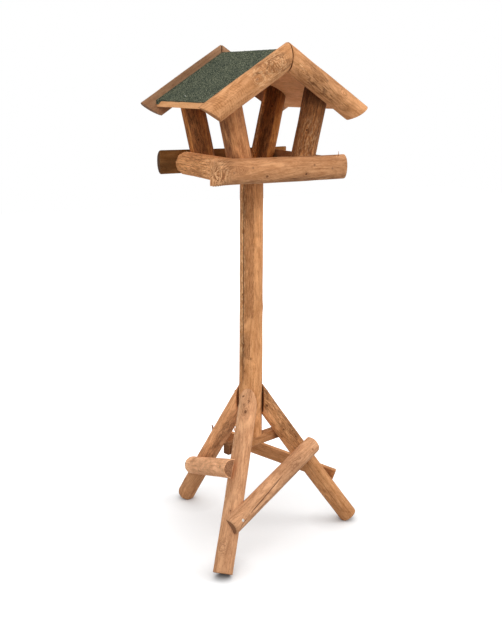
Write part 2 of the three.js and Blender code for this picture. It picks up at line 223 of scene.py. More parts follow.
floor_mesh = bpy.data.meshes.new("floor")
floor_mesh.from_pydata([(x * floor_half, y * floor_half, 0)
                        for x, y in ((-1, -1), (1, -1), (1, 1), (-1, 1))], [], [(0, 1, 2, 3)])
floor_mesh.materials.append(floor_material)
floor = show(bpy.data.objects.new("floor", floor_mesh))

world = bpy.data.worlds.new("studio")
world.use_nodes = True
tree = world.node_tree
tree.nodes.clear()
strength = seen_rays(tree).remap(0.0, 1.0, sky_light, 1.0, "LINEAR")
sky = add(tree, "ShaderNodeBackground", {"Color": white, "Strength": strength})
add(tree, "ShaderNodeOutputWorld", {"Surface": sky.outputs[0]})
bpy.context.scene.world = world

for name, where, target_height, size, watts in (
        ("key", (-1.7, -2.1, 2.4), 0.6, 2.2, 48), ("top", (0.3, 0.2, 3.2), 0.5, 2.6, 34),
        ("side", (2.4, -1.5, 1.9), 0.7, 2.0, 40)):
    data = bpy.data.lights.new(name, "AREA")
    data.shape = "DISK"
    data.size = size
    data.energy = watts
    lamp = show(bpy.data.objects.new(name, data))
    lamp.location = where
    towards = Vector((0, 0, target_height)) - Vector(where)
    lamp.rotation_euler = towards.to_track_quat("-Z", "Y").to_euler()
print("lamps:", [light.name for light in bpy.data.lights])

# %% [markdown]
# ## How a log is made
# A peeled pole is a round bar that is never quite round: it tapers, bows a little, and its
# skin has long shallow facets from the drawknife. It could be sculpted, or a cylinder could
# be displaced. Here it is drawn as columns of points that run along the grain. Each column
# starts on one saw cut and ends on another, so a mitre or a bevel needs no boolean: the two
# cuts are planes, and a plane says how high each column starts and stops.
#
# Half-round pieces and boards are made in the same way from another section. Every point
# also remembers where it sits in the timber (`grain`), how much bark it kept (`bark`) and
# whether it is skin, a sawn side or a sawn end. The materials read those.

# %% Sections of logs and boards
def round_section(count=88):
    turn = np.arange(count) * 2 * math.pi / count
    points = np.stack([np.cos(turn), np.sin(turn)], 1)
    return {"points": points, "normals": points, "skin": np.ones(count), "centre": np.zeros(2)}


def half_section(arc=56, flat=26):
    turn = np.linspace(-math.pi / 2, math.pi / 2, arc)
    curve = np.stack([np.cos(turn), np.sin(turn)], 1)
    steps = np.concatenate([[0.985], np.linspace(0.95, -0.95, flat), [-0.985]])
    sawn = np.stack([np.zeros(len(steps)), steps], 1)
    away = np.tile([-1.0, 0.0], (len(steps), 1))
    skin = np.concatenate([np.ones(arc), np.zeros(len(steps))])
    return {"points": np.concatenate([curve, sawn]), "normals": np.concatenate([curve, away]),
            "skin": skin, "centre": np.array([0.42, 0.0])}


def board_section(corners, spacing=3 * MM, arris=0.8 * MM):
    corners = [np.array(c, float) for c in corners]
    area = sum(a[0] * b[1] - a[1] * b[0] for a, b in zip(corners, corners[1:] + corners[:1]))
    if area < 0:
        corners.reverse()
    points, normals = [], []
    for a, b in zip(corners, corners[1:] + corners[:1]):
        length = np.linalg.norm(b - a)
        edge = (b - a) / length
        for step in np.linspace(arris, length - arris, max(2, int(length / spacing))):
            points.append(a + edge * step)
            normals.append(np.array([edge[1], -edge[0]]))
    points = np.array(points)
    return {"points": points, "normals": np.array(normals), "skin": np.zeros(len(points)),
            "centre": points.mean(0)}


print("a round log has", len(round_section()["points"]), "columns, a half log",
      len(half_section()["points"]))

# %% [markdown]
# Smooth noise gives the skin its unevenness. It is sampled in the log's own coordinates and
# stretched along the grain, because everything that happens to wood runs lengthways.

# %% Noise along the grain
def field(xy, z, scale, seed):
    points = np.concatenate([xy, z[:, None]], 1)
    moved = points * np.array(scale) + np.array([17.3, 5.1, 9.7]) * (seed + 1)
    return np.array([noise.noise(Vector(p)) for p in moved])


def lengthways(origin, along, side):
    z = Vector(along).normalized()
    y = z.cross(Vector(side)).normalized()
    x = y.cross(z)
    return np.array(origin, float), np.array([x, y, z])


def cut_heights(log, xy):
    low = np.zeros(len(xy))
    high = np.full(len(xy), log["length"])
    for point, normal in log["cuts"]:
        tilt = log["axes"] @ np.array(normal, float)
        offset = (log["origin"] - np.array(point, float)) @ np.array(normal, float)
        height = -(offset + xy @ tilt[:2]) / tilt[2]
        if tilt[2] > 0:
            high = np.minimum(high, height)
        else:
            low = np.maximum(low, height)
    return low, high


# %% [markdown]
# Knots are listed for each log as a turn round it in degrees, a place along it and a
# size, both in millimetres. The wood swells a little over a knot, and the fibres part round
# it as water parts round a stone. That flow is worked out here and kept in `grain`. A knot
# with a negative size is a swirl without a core.

# %% Swelling and fibres
def turns_of(xy):
    return np.arctan2(xy[:, 1], xy[:, 0])


def angle_from(turn, degrees):
    return (turn - np.radians(degrees) + math.pi) % (2 * math.pi) - math.pi


def skin_swell(log, unit, z):
    lobes, facets, ripple, creases, wrinkles = (
        field(unit, z, scale, log["seed"] + later) for scale, later in (
            ((1.0, 1.0, 5.0), 0), ((2.6, 2.6, 16.0), 40), ((8.0, 8.0, 30.0), 80),
            ((7.0, 7.0, 26.0), 120), ((15.0, 15.0, 60.0), 160)))
    even = log["rough"] * (0.9 * lobes + 0.55 * facets + 0.2 * ripple)
    return (even - log["wrinkle"] * (np.abs(creases) + 0.5 * np.abs(wrinkles))) * MM


def knot_offsets(log, turn, z, radius):
    best = np.full(len(z), 1e9)
    offset = np.full((len(z), 3), 9.0)
    swell = np.zeros(len(z))
    shift = np.zeros(len(z))
    for degrees, place, signed in log["knots"]:
        v = angle_from(turn, degrees) * radius
        u = z - place * MM
        size = abs(signed) * MM
        reach = np.hypot(u * 0.8, v) / size
        nearer = reach < best
        best = np.where(nearer, reach, best)
        offset[nearer] = np.stack([u, v, np.full(len(z), signed * MM)], 1)[nearer]
        swell += (0.22 if signed > 0 else 0.08) * size * np.exp(-((reach / 1.7) ** 2))
        parted = v / (np.square(u / 1.9) + np.square(v) + np.square(0.9 * size))
        shift -= parted * np.square(size) * 1.1
    return offset, swell, shift


# %% [markdown]
# Each log also has a list of marks: a kind, a turn, half a width in degrees, the places where
# the mark starts and ends, and a strength. Burls are lumps with a curly figure. They stand
# near some ends, where they follow the end grain too. Their grooves are darkened as painted
# shade and their crests lightened as a painted highlight.

# %% Marks and burls
def smooth_patch(value, low, high, soft):
    rise = np.clip((value - low) / soft, 0, 1)
    fall = np.clip((high - value) / soft, 0, 1)
    inside = np.minimum(rise, fall)
    return inside * inside * (3 - 2 * inside)


# Marks of the kinds tone and soot paint light and shade as well as the wood's own tone.
def marked(kind, log, turn, z):
    amount = np.full(len(z), log["base"].get(kind, 0.0))
    for named, degrees, half_width, start, end, strength in log["marks"]:
        if named == kind:
            around = np.degrees(angle_from(turn, degrees))
            mark = strength * smooth_patch(around, -half_width, half_width, 16.0)
            mark = mark * smooth_patch(z, start * MM, end * MM, 0.025)
            amount = amount + mark if kind == "tone" else np.maximum(amount, mark)
    return amount


def burl(log, gnarl, turn, z, units, radius):
    degrees, place, size, _ = gnarl
    across = angle_from(turn, degrees) * radius
    along = z - place * MM
    lump = np.exp(-np.square(np.hypot(across, along) / (size * MM)))
    twist = field(units, z, (1.6, 1.6, 30.0), log["seed"] + 200)
    phase = (along + 0.3 * across + units[:, 0] * radius) / (0.9 * MM)
    return lump, np.sin(phase + 6.0 * twist)


def crack_turn(turn, z, crack):
    from_deg, to_deg, start, end = crack[:4]
    share = np.clip((z / MM - start) / (end - start), 0, 1)
    return angle_from(turn, from_deg + (to_deg - from_deg) * share)


# %% [markdown]
# The log itself: rings of points from one cut to the other, closer together at both ends so
# that the sawn edges can be rounded, then two caps of shrinking rings.

# %% Build a log
rim_shares = np.array([0.0, 0.06, 0.22, 0.5, 1.0, 1.7])
cap_shares = (0.975, 0.86, 0.62, 0.36, 0.0)
plain_looks = dict(
    cuts=(), edge=2.0, seed=0, rough=1.0, wrinkle=0.0, bow=(0.0, 0.0), knots=(), base={},
    marks=(), cracks=(), gnarls=(), sawn=(0.2, 0.2), tone=0.0, tone_and_shade_at_head=None, vivid=0.0,
    step=3.0)
log_frames = {}


def log_faces(rings, count):
    after = [(k + 1) % count for k in range(count)]
    faces = []
    for first in range(0, (rings - 1) * count, count):
        second = first + count
        faces += [(first + k, first + n, second + n, second + k) for k, n in enumerate(after)]
    base = rings * count
    for previous, order in ((0, 1), ((rings - 1) * count, -1)):
        for share in cap_shares:
            if share > 0:
                cap = [(previous + k, base + k, base + n, previous + n)
                       for k, n in enumerate(after)]
            else:
                cap = [(previous + k, base, previous + n) for k, n in enumerate(after)]
            faces += [face[::order] for face in cap]
            previous = base
            base += count if share > 0 else 1
    return faces


def build(name, points, faces=(), **layers):
    mesh = bpy.data.meshes.new(name)
    mesh.from_pydata(np.asarray(points).tolist(), [], list(faces))
    for label, values in layers.items():
        values = np.array(values, np.float32)
        kind, part = ("FLOAT_VECTOR", "vector") if values.ndim == 2 else ("FLOAT", "value")
        mesh.attributes.new(label, kind, "POINT").data.foreach_set(part, values.ravel())
    return show(bpy.data.objects.new(name, mesh))


def make_log(name, material, section, origin, along, side, length, foot, head=None, **looks):
    origin, axes = lengthways(origin, along, side)
    head = foot if head is None else head
    log = {**plain_looks, **looks, "origin": origin, "axes": axes, "length": length}
    seed, cracks, gnarls, tone = (log[key] for key in ("seed", "cracks", "gnarls", "tone"))
    unit = section["points"]
    count = len(unit)
    low, high = cut_heights(log, unit * foot)
    edge = log["edge"] * MM
    rims = rim_shares * edge
    middle = np.linspace(0, 1, max(6, int((high - low).max() / (log["step"] * MM))))[1:-1]
    rings = len(rims) * 2 + len(middle)

    def ring_heights(low, high):
        inside = high - low - 2 * rims[-1]
        return np.array([low + rim for rim in rims]
                        + [low + rims[-1] + share * inside for share in middle]
                        + [high - rim for rim in rims[::-1]])

    z = ring_heights(low, high).ravel()
    from_end = np.concatenate([rims, np.full(len(middle), 1.0), rims[::-1]])
    inner = np.clip(edge - from_end, 0, None)
    shrink = edge - np.sqrt(np.square(edge) - np.square(inner))
    turn = np.tile(turns_of(unit), rings)
    radius = foot + (head - foot) * np.clip(z / length, 0, 1)
    units = np.tile(unit, (rings, 1))
    skin = np.tile(section["skin"], rings)
    _, swell, _ = knot_offsets(log, turn, z, foot)
    stand_off = skin_swell(log, units / np.abs(unit).max(), z)
    stand_off = np.where(skin > 0.5, stand_off + swell, 0.25 * stand_off)
    for crack in cracks:
        start, end, depth = crack[2:5]
        groove = np.exp(-np.square(crack_turn(turn, z, crack) * foot / (1.5 * MM)))
        stand_off -= depth * MM * groove * smooth_patch(z, start * MM, end * MM, 0.02)
    for gnarl in gnarls:
        lump, ridge = burl(log, gnarl, turn, z, units, foot)
        stand_off += gnarl[3] * MM * lump * (0.7 + 0.3 * ridge) * skin
    xy = units * radius[:, None] + np.tile(section["normals"], (rings, 1)) * stand_off[:, None]
    centre = section["centre"] * foot
    arms = xy - centre
    xy = centre + arms * (1 - np.repeat(shrink, count) / np.linalg.norm(arms, axis=1))[:, None]
    low, high = (heights.reshape(rings, count) for heights in cut_heights(log, xy))
    true_z = np.array([ring_heights(low[i], high[i])[i] for i in range(rings)])
    points = [np.concatenate([xy, true_z.reshape(-1, 1)], 1)]
    for cap_end, rim, out in ((0, xy[:count], 1), (1, xy[-count:], -1)):
        for share in cap_shares:
            ring = centre + ((rim if share > 0 else rim[:1]) - centre) * share
            plane = cut_heights(log, ring)[cap_end]
            teeth = 0.12 * MM * field(ring, ring[:, 0] * 0, (500, 120, 1), seed)
            for gnarl in gnarls:
                lump, ridge = burl(log, gnarl, turns_of(ring), plane, ring / foot, foot)
                teeth -= 0.3 * gnarl[3] * MM * lump * ridge * (1 - share) * out
            points.append(np.concatenate([ring, (plane + teeth)[:, None]], 1))
    local = np.concatenate(points)
    in_caps = len(local) - len(skin)
    skin = np.concatenate([skin, np.zeros(in_caps)])
    end = np.concatenate([np.zeros(len(local) - in_caps), np.ones(in_caps)])

    turn, z = turns_of(local[:, :2]), local[:, 2].copy()
    knot, _, shift = knot_offsets(log, turn, z, foot)
    pith = np.array([0.11, -0.07]) * foot * math.cos(seed * 2.1)
    tangent = np.stack([-np.sin(turn), np.cos(turn)], 1)
    grain_xy = local[:, :2] - pith + tangent * (shift * skin)[:, None]
    split = np.full((len(local), 3), 0.05)
    for crack in cracks:
        start, end_at, _, darkness = crack[2:]
        beside = crack_turn(turn, z, crack) * foot
        near = np.abs(beside) < np.abs(split[:, 0])
        past_end = np.maximum(start * MM - z, z - end_at * MM)
        split[near] = np.stack([beside, past_end, np.full(len(z), darkness)], 1)[near]
    near_foot = np.arange(len(local)) < len(local) - in_caps // 2
    tone_and_shade_at_head = tone if log["tone_and_shade_at_head"] is None else log["tone_and_shade_at_head"]
    bow, heading = log["bow"]
    bend = bow * MM * np.sin(math.pi * np.clip(z / length, 0, 1))
    local[:, 0] += bend * math.cos(math.radians(heading))
    local[:, 1] += bend * math.sin(math.radians(heading))
    # Painted shade in the burls' grooves and painted highlight on their crests, following their
    # relief.
    furrow = np.zeros(len(local))
    for gnarl in gnarls:
        lump, ridge = burl(log, gnarl, turn, z, local[:, :2] / foot, foot)
        cut = -1.2 * lump * ridge * np.maximum(skin, end)
        furrow = np.where(np.abs(cut) > np.abs(furrow), cut, furrow)

    by_kind = {kind: marked(kind, log, turn, z)
               for kind in ("bark", "vein", "chatter", "pale", "soot", "tone")}
    layers = {kind: amount * skin for kind, amount in by_kind.items()}
    # Painted shade on the sawn ends, set by the log's sawn shares, added to the painted shade
    # marks.
    layers["soot"] = np.maximum(by_kind["soot"], end * np.where(near_foot, *log["sawn"]))
    # Tone along the log and from marks: random tone, and painted light and shade such as a darker
    # top under the roof.
    layers["tone"] = tone + (tone_and_shade_at_head - tone) * np.clip(z / length, 0, 1) + by_kind["tone"]
    made = build(name, origin + local @ axes, log_faces(rings, count), **layers,
                 grain=np.concatenate([grain_xy, z[:, None] + 0.731 * (seed + 1)], 1),
                 knot=knot, crack=split, skin=skin, end=end, furrow=furrow,
                 stain=np.zeros(len(z)), vivid=np.full(len(z), log["vivid"]))
    made.data.shade_smooth()
    made.data.set_sharp_from_angle(angle=math.radians(55))
    made.data.materials.append(material)
    log_frames[name] = (origin, axes, foot)
    return made


# %% [markdown]
# ## The wood
# One recipe serves all the timber. The colour starts from two tones of peeled wood, streaked
# by noise that is stretched along the grain. Growth rings are drawn round the pith: they
# show as circles on a sawn end, as lines on a sawn side, and as long flames where the knife
# cut through them. On top lie the brown remnants of inner bark, knots, cracks and dirt. The
# same values drive the bump, so that the surface and its colour agree. Painted shade is laid
# on sawn ends, in joints and in the burls' grooves, and whole areas are made lighter or
# darker both at random and as painted light and shade.

# %% Wood material
def wood(name, light, middle, dark, bark_colour, film, streaky=0.5, peel=(170, 60)):
    material, tree = new_material(name)
    grain = read(tree, "grain", "Vector")
    skin, end, bark, furrow = (read(tree, label) for label in ("skin", "end", "bark", "furrow"))

    def streaks(around, along, detail=4.0, rough=0.55):
        stretched = add(tree, "ShaderNodeMapping", {"Vector": grain,
                                                    "Scale": (around, around, along)})
        return cloud(tree, stretched.outputs[0], 1.0, detail, rough)

    def lay(share, tint):
        nonlocal colour
        colour = blend(tree, share, colour, tint)

    broad = streaks(26, 9, 2.0, 0.5)
    mottle = streaks(80, 30, 5.0, 0.62)
    fibre = streaks(260, 13, 5.0, 0.6)
    fine = streaks(1300, 110, 3.0, 0.6)
    fleck = streaks(480, 150, 3.0, 0.6)
    colour = blend(tree, mottle.remap(0.34, 0.66), light, middle)
    lay(broad.remap(0.42, 0.68, 0.0, 0.42), middle)
    lay(fibre.remap(0.50, 0.72, 0.0, streaky), dark)
    lay(fine.remap(0.52, 0.80, 0.0, 0.26), dark)
    lay(fleck.remap(0.55, 0.70, 0.0, 0.46), dark)
    lay(fleck.remap(0.46, 0.32, 0.0, 0.62), light)

    # Flames on the skin are contours of a broad noise; rings are drawn round the pith.
    layers = streaks(24, 4.5, 1.5, 0.35)
    lay((layers * 95.0).do("SINE").remap(0.0, 1.0) * skin * 0.24, dark)
    rings = add(tree, "ShaderNodeTexWave", {"Vector": grain, "Scale": 115.0, "Distortion": 3.0,
                                            "Detail": 3.0, "Detail Scale": 0.5},
                wave_type="RINGS", rings_direction="Z", wave_profile="SIN")
    late_wood = Wire(tree, rings.outputs["Fac"]).remap(0.5, 1.0)
    lay(late_wood * (skin.remap(0.0, 1.0, 0.36, 0.05, "LINEAR") + end * 0.2), dark)
    teeth = cloud(tree, grain, 420.0, 4.0)
    lay(end * 0.6, blend(tree, teeth.remap(0.4, 0.65), middle, dark))

    # Inner bark is kept where two noises and the log's own bark map together are high.
    edge_noise = streaks(*peel, 6.0, 0.7)
    pits = streaks(800, 380, 4.0, 0.75)
    kept = edge_noise * 0.9 + pits * 0.35
    bark_mask = (kept + bark * 0.62).remap(0.92, 1.06) * skin
    shreds = streaks(420, 60, 5.0, 0.7)
    bark_tone = blend(tree, shreds.remap(0.36, 0.62), film[0], film[1])
    lay(bark_mask * 0.9, blend(tree, pits.remap(0.56, 0.66, 0.0, 0.75), bark_tone, film[2]))

    # Veins are the thin lines where a noise crosses its middle value.
    thread = abs(streaks(230, 27, 3.0) - 0.5)
    vein = thread.remap(0.046, 0.012) * read(tree, "vein") * broad.remap(0.40, 0.52, 0.25, 1.0)
    # The burls' grooves are darkened here as painted shade.
    vein = vein.most(furrow).do("MINIMUM", 1.0)
    lay(vein * 0.75, tuple(0.55 * a + 0.45 * b for a, b in zip(dark, bark_colour)))
    # Pale chips, and painted highlights: pale marks on lit edges of the post and pillars, a lighter
    # lower part of the front-right pillar, and the burls' crests.
    chips_and_highlights = read(tree, "pale") * streaks(330, 110, 3.0).remap(0.48, 0.60)
    lay(chips_and_highlights.most(furrow * -0.8) * 0.8, (0.86, 0.50, 0.25))

    along, across, size = read(tree, "knot", "Vector").parts()
    has_core = size.do("GREATER_THAN", 0.0)
    reach = ((along * 0.8).do("POWER", 2.0) + across.do("POWER", 2.0)).do("SQRT")
    reach = reach / abs(size).most(0.0005)
    swirl = cloud(tree, grain, 75.0, 2.0)
    wobble = reach + (cloud(tree, grain, 260.0, 3.0) - 0.5) * 0.9
    turning = wobble + (swirl - 0.5) * 3.6
    knot_core = wobble.remap(0.75, 0.35) * (skin * has_core)
    knot_rings = (turning * 9.0).do("SINE")
    halo = wobble.remap(2.6, 0.9) * skin * knot_rings.remap(-0.3, 1.0, 0.06, 0.58)
    lay(halo, dark)
    lay(knot_core * 0.75, bark_colour)

    beside, past_end, darkness = read(tree, "crack", "Vector").parts()
    waver = (streaks(60, 60, 3.0) - 0.5) * (0.9 * MM)
    wide = past_end.remap(-0.03, 0.0, 1.0, 0.1) * (darkness + 0.55)
    line = (abs(beside + waver) / wide).remap(0.4 * MM, 1.1 * MM, 1.0, 0.0)
    line = line * past_end.do("LESS_THAN", 0.0) * darkness
    lay(line * 0.85, bark_colour)

    # The drawknife chattered: fine bars that stand a little askew across the grain.
    x, _, z = grain.parts()
    bars = ((z + x * 0.7 + swirl * 0.012) * 1050.0).do("SINE").remap(0.1, 1.0)
    chatter = read(tree, "chatter") * bars * mottle.remap(0.35, 0.6, 0.1, 1.0)
    lay(chatter * 0.44, dark)

    lay((read(tree, "stain") + pits * 0.3).remap(0.45, 0.95) * 0.7, bark_colour)
    # Painted shade darkens sawn ends, joints and the parts tucked under the roof.
    lay(read(tree, "soot") * teeth.remap(0.62, 0.40, 0.55, 1.0), bark_colour)
    # The value is raised or lowered by random tone and by painted light and shade on lit edges,
    # undersides and tops.
    tone = read(tree, "tone") + broad.remap(0.3, 0.7, 1.09, 0.91, "LINEAR")
    shade = add(tree, "ShaderNodeHueSaturation",
                {"Color": colour, "Value": tone, "Saturation": read(tree, "vivid") + 1.0})

    height = fibre * 0.5 + fine * 0.2 + bark_mask * shreds
    height = height - line * 1.5 - vein * 0.8 - chatter * 0.3 + halo * 0.5
    finish_material(tree, shade.outputs[0], fibre.remap(0.3, 0.7, 0.70, 0.88), height, 1.1 * MM,
                    Specular_IOR_Level=0.15)
    return material


brown_film = ((0.50, 0.225, 0.092), (0.26, 0.100, 0.034), (0.66, 0.33, 0.145))
# The pillars' film and wood are darker and more saturated: more bark is left, and painted shade, as
# they stand under the roof.
barky_shaded_film = ((0.32, 0.120, 0.042), (0.070, 0.022, 0.007), (0.50, 0.215, 0.078))
peeled_wood = wood("peeled_wood", (0.72, 0.355, 0.155), (0.54, 0.240, 0.092),
                   (0.25, 0.088, 0.026), (0.085, 0.026, 0.007), brown_film)
pale_wood = wood("pale_wood", (0.73, 0.365, 0.165), (0.55, 0.250, 0.098),
                 (0.26, 0.095, 0.030), (0.095, 0.030, 0.009), brown_film)
dark_wood = wood("dark_wood", (0.56, 0.235, 0.080), (0.34, 0.125, 0.038),
                 (0.125, 0.038, 0.010), (0.050, 0.014, 0.004), barky_shaded_film, streaky=0.85,
                 peel=(260, 22))
board_wood = wood("board_wood", (0.74, 0.39, 0.185), (0.62, 0.305, 0.130),
                  (0.36, 0.145, 0.052), (0.115, 0.038, 0.012), brown_film, streaky=0.3)
print("wood finishes:", [m.name for m in bpy.data.materials if "wood" in m.name])

# %% [markdown]
# ## The post and the tripod
# The post is a pole 58 mm thick at its foot. Three thinner logs lean in to it: their axes
# would meet on the post's axis, and a plumb bevel lets each lie flat against the post. Their
# feet are worn flat where they stand.

# %% Post and legs
gap = 0.3 * MM
post_foot = 262.3 * MM
post_length = 645.2 * MM
post_radii = (29 * MM, 27.1 * MM)
# The post's soot marks paint shade beside the tops of the left and right legs and under the tray
# floor.
peeled_post = make_log(
    "peeled_post", peeled_wood, round_section(), post_axis + (0, 0, post_foot), (0, 0, 1),
    (1, 0, 0), post_length, *post_radii,
    edge=1.2, seed=3, rough=0.8, tone=0.11,
    knots=[(241, 206, 2.0), (208, 173, 2.6), (180, 141, 2.2), (202, 240, 2.8), (176, 272, 1.8),
        (193, 363, 2.4), (198, 303, 2.6), (60, 210, 5.0), (95, 430, 6.0), (330, 330, 4.5),
        (30, 520, 5.0), (150, 120, 4.0)],
    marks=[("bark", 224, 40, 290, 700, 0.72), ("bark", 212, 36, 185, 285, 0.66),
        ("bark", 210, 24, 270, 330, 0.5), ("vein", 196, 26, 150, 640, 0.7),
        ("bark", 75, 34, 120, 520, 0.62), ("vein", 90, 60, 200, 640, 0.5),
        ("pale", 188, 26, 190, 640, 1.0), ("soot", 230, 180, 612, 720, 0.25),
        ("soot", 343, 30, 20, 150, 0.7), ("soot", 104, 30, 20, 150, 0.7)],
    cracks=[(198, 197, 126, 640, 1.1, 1.0), (20, 24, 150, 420, 0.6, 0.8)])

leg_radius = 23 * MM
legs_meet = 397.3 * MM
leg_heel = 1.9 * MM
leg_overrun = 45 * MM
leg_turns = {"front": 225.8, "right": 343.5, "left": 104.4}
leg_spreads = {"front": 255.5 * MM, "right": 274 * MM, "left": 264 * MM}


def outward(place):
    turn = math.radians(leg_turns[place])
    return np.array([math.cos(turn), math.sin(turn), 0.0])


def leg_point(place, height):
    out = leg_spreads[place] * (1 - height / legs_meet)
    return post_axis + outward(place) * out + (0, 0, height)


# Painted shade darkens the feet, the front foot most as it faces the floor, and the right leg
# beside the front brace; tone marks lighten or darken patches, partly as painted light and shade.
leg_looks = {
    "front": dict(
        seed=11, bow=(1.5, 90), tone=-0.04, tone_and_shade_at_head=0.12, vivid=-0.08, edge=2.0, sawn=(1.0, 0.2),
        knots=[(6, 382, 6.0), (-10, 398, 2.4), (16, 404, 2.0), (2, 143, 2.6), (150, 260, 5.0),
            (-10, 60, -9.0)],
        marks=[("vein", 0, 50, 366, 450, 0.8), ("bark", 2, 44, 360, 425, 0.42),
            ("pale", -60, 30, 150, 420, 0.9), ("tone", 50, 30, 150, 420, 0.10),
            ("soot", 0, 180, -20, 9, 0.5)]),
    "right": dict(
        seed=17, bow=(2.0, 200), tone=-0.10, tone_and_shade_at_head=0.10, vivid=0.0, edge=3.0, sawn=(0.2, 1.0),
        knots=[(-89, 404, 4.4), (-93, 325, 3.2), (-50, 304, 4.0), (-56, 286, 4.6), (-43, 427, 3.6),
            (20, 180, 4.0)],
        cracks=[(-104, -98, 30, 270, 0.5, 0.4), (-72, -76, 70, 250, 0.4, 0.3)],
        marks=[("bark", -50, 50, 285, 480, 0.5), ("vein", -80, 90, 240, 480, 0.85),
            ("tone", -140, 40, 200, 460, 0.16), ("tone", -30, 30, 260, 460, -0.2),
            ("bark", -140, 40, 20, 200, 0.45), ("soot", -60, 60, 218, 248, 0.3)]),
    "left": dict(
        seed=23, bow=(1.5, 30), tone=0.02, tone_and_shade_at_head=0.24, vivid=-0.04, edge=3.0, sawn=(0.2, 1.0),
        knots=[(95, 140, 4.0), (60, 52, -7.0)],
        marks=[("bark", 146, 46, 120, 380, 0.48), ("vein", 150, 50, 130, 350, 0.7),
            ("tone", 66, 56, 190, 440, 0.30), ("soot", 0, 180, -20, 22, 0.2)]),
}
leg_seats = {"front": 29.3 * MM, "right": 29.6 * MM, "left": 29.6 * MM}
logs = {"post": peeled_post}
for place, spread in leg_spreads.items():
    tilt = math.atan(spread / legs_meet)
    foot_point = leg_point(place, leg_radius * math.sin(tilt) - leg_heel)
    along = leg_point(place, legs_meet) - foot_point
    seat = post_axis + outward(place) * leg_seats[place]
    logs[f"leg_{place}"] = make_log(
        f"peeled_leg_{place}", peeled_wood, round_section(), foot_point, along, outward(place),
        np.linalg.norm(along) + leg_overrun, leg_radius,
        cuts=[(seat, -outward(place)), ((0, 0, 0), (0, 0, -1))], **leg_looks[place])

# %% [markdown]
# The braces are half logs. Each lies flat side in against two legs, low on one and high on
# the next, so the three chase each other round the tripod. Two legs and the post's axis
# span a plane, and the brace's flat side is parallel to it, one leg radius further out.

# %% Braces and batten
# Painted light and shade: the left brace is lightened, the front brace's lower side darkened, and
# the back brace's end at the right leg darkened.
braces = {
    "left": dict(
        legs=("left", "front"), heights=(113, 214), overs=(6, 29.2), radius=23,
        looks=dict(
            seed=31, tone=0.40, vivid=-0.08, edge=1.6, sawn=(0.3, 0.9), knots=[(-20, 60, -6.0)],
            marks=[("pale", 20, 80, -10, 46, 1.0)])),
    "front": dict(
        legs=("front", "right"), heights=(115, 207), overs=(26.2, 25.8), radius=23.2,
        looks=dict(
            seed=37, tone=-0.06, vivid=-0.08, edge=3.5, sawn=(0.7, 0.2),
            cracks=[(34, 6, 2, 40, 1.2, 1.0), (6, -20, 38, 190, 0.9, 0.85)],
            knots=[(-20, 262, 2.0), (-8, 235, -8.0)],
            marks=[("bark", 24, 22, 30, 240, 0.5), ("bark", 66, 16, 0, 250, 0.6),
                ("tone", 60, 40, 0, 340, -0.14)])),
    "back": dict(
        legs=("right", "left"), heights=(121.6, 206), overs=(29.2, 16.3), radius=20.7,
        looks=dict(
            seed=41, tone=0.0, edge=2.0, knots=[(0, 120, 4.0)], sawn=(0.5, 0.3),
            marks=[("soot", 0, 180, -10, 45, 0.45)])),
}
for place, brace in braces.items():
    low = leg_point(brace["legs"][0], brace["heights"][0] * MM)
    high = leg_point(brace["legs"][1], brace["heights"][1] * MM)
    top = post_axis + (0, 0, legs_meet)
    face = np.cross(low - top, high - top)
    face /= np.linalg.norm(face)
    if face @ (low - top) < face @ (post_axis - top):
        face = -face
    if face @ (low - post_axis) < 0:
        face = -face
    along = (high - low) / np.linalg.norm(high - low)
    start = low + face * (leg_radius + gap) - along * brace["overs"][0] * MM
    length = np.linalg.norm(high - low) + sum(brace["overs"]) * MM
    logs[f"brace_{place}"] = make_log(
        f"peeled_brace_{place}", pale_wood, half_section(), start, along, face, length,
        brace["radius"] * MM, **brace["looks"])

batten_top = 262 * MM
batten_side = 22 * MM
batten_height = 26 * MM
batten_chamfer = 4 * MM
batten_middle = batten_top - batten_height / 2
batten_along = leg_point("right", batten_top) - leg_point("front", batten_top)
batten_along /= np.linalg.norm(batten_along)
batten_out = np.cross(batten_along, (0, 0, 1))
facing = batten_out @ outward("right")
right_tilt = math.atan(leg_spreads["right"] / legs_meet)
half_width = leg_radius * math.hypot(facing / math.cos(right_tilt), math.sqrt(1 - facing ** 2))
batten_front = (leg_point("right", batten_top) - post_axis) @ batten_out - half_width - gap
batten_bottom = batten_top - batten_height
batten_corners = [(batten_front - batten_side, batten_bottom),
                  (batten_front - batten_chamfer, batten_bottom),
                  (batten_front, batten_bottom + batten_chamfer), (batten_front, batten_top),
                  (batten_front - batten_side, batten_top)]
batten_left = 9.2 * MM - (leg_point("front", batten_middle) - post_axis) @ batten_along
batten_right = 25.2 * MM + (leg_point("right", batten_middle) - post_axis) @ batten_along
# Painted shade darkens both ends of the batten beside the legs.
logs["batten"] = make_log(
    "sawn_batten", pale_wood, board_section(batten_corners), post_axis + batten_along *
    batten_right, -batten_along, batten_out, batten_left + batten_right, 1.0,
    edge=0.8, seed=47, rough=1.2, tone=-0.04, sawn=(0.9, 0.8),
    marks=[("soot", 0, 180, -30, 66, 0.85), ("soot", 0, 180, 158, 260, 0.62),
        ("tone", 80, 180, 176, 260, -0.30), ("pale", 60, 50, 196, 300, 1.0)])
print("tripod:", [o.name for o in logs.values()])

# %% [markdown]
# ## The tray
# Four half logs stand on edge round a board floor, flat sides in. The two long ones run past
# the short ones, and their ends are sawn a little on the skew.

# %% Tray floor and rails
rail_radius = 27.7 * MM
rail_axis = 930.3 * MM
inside_x = 112.6 * MM
inside_y = 118.8 * MM
floor_thickness = 12 * MM
floor_bottom = rail_axis - rail_radius + 5.2 * MM
floor_top = floor_bottom + floor_thickness


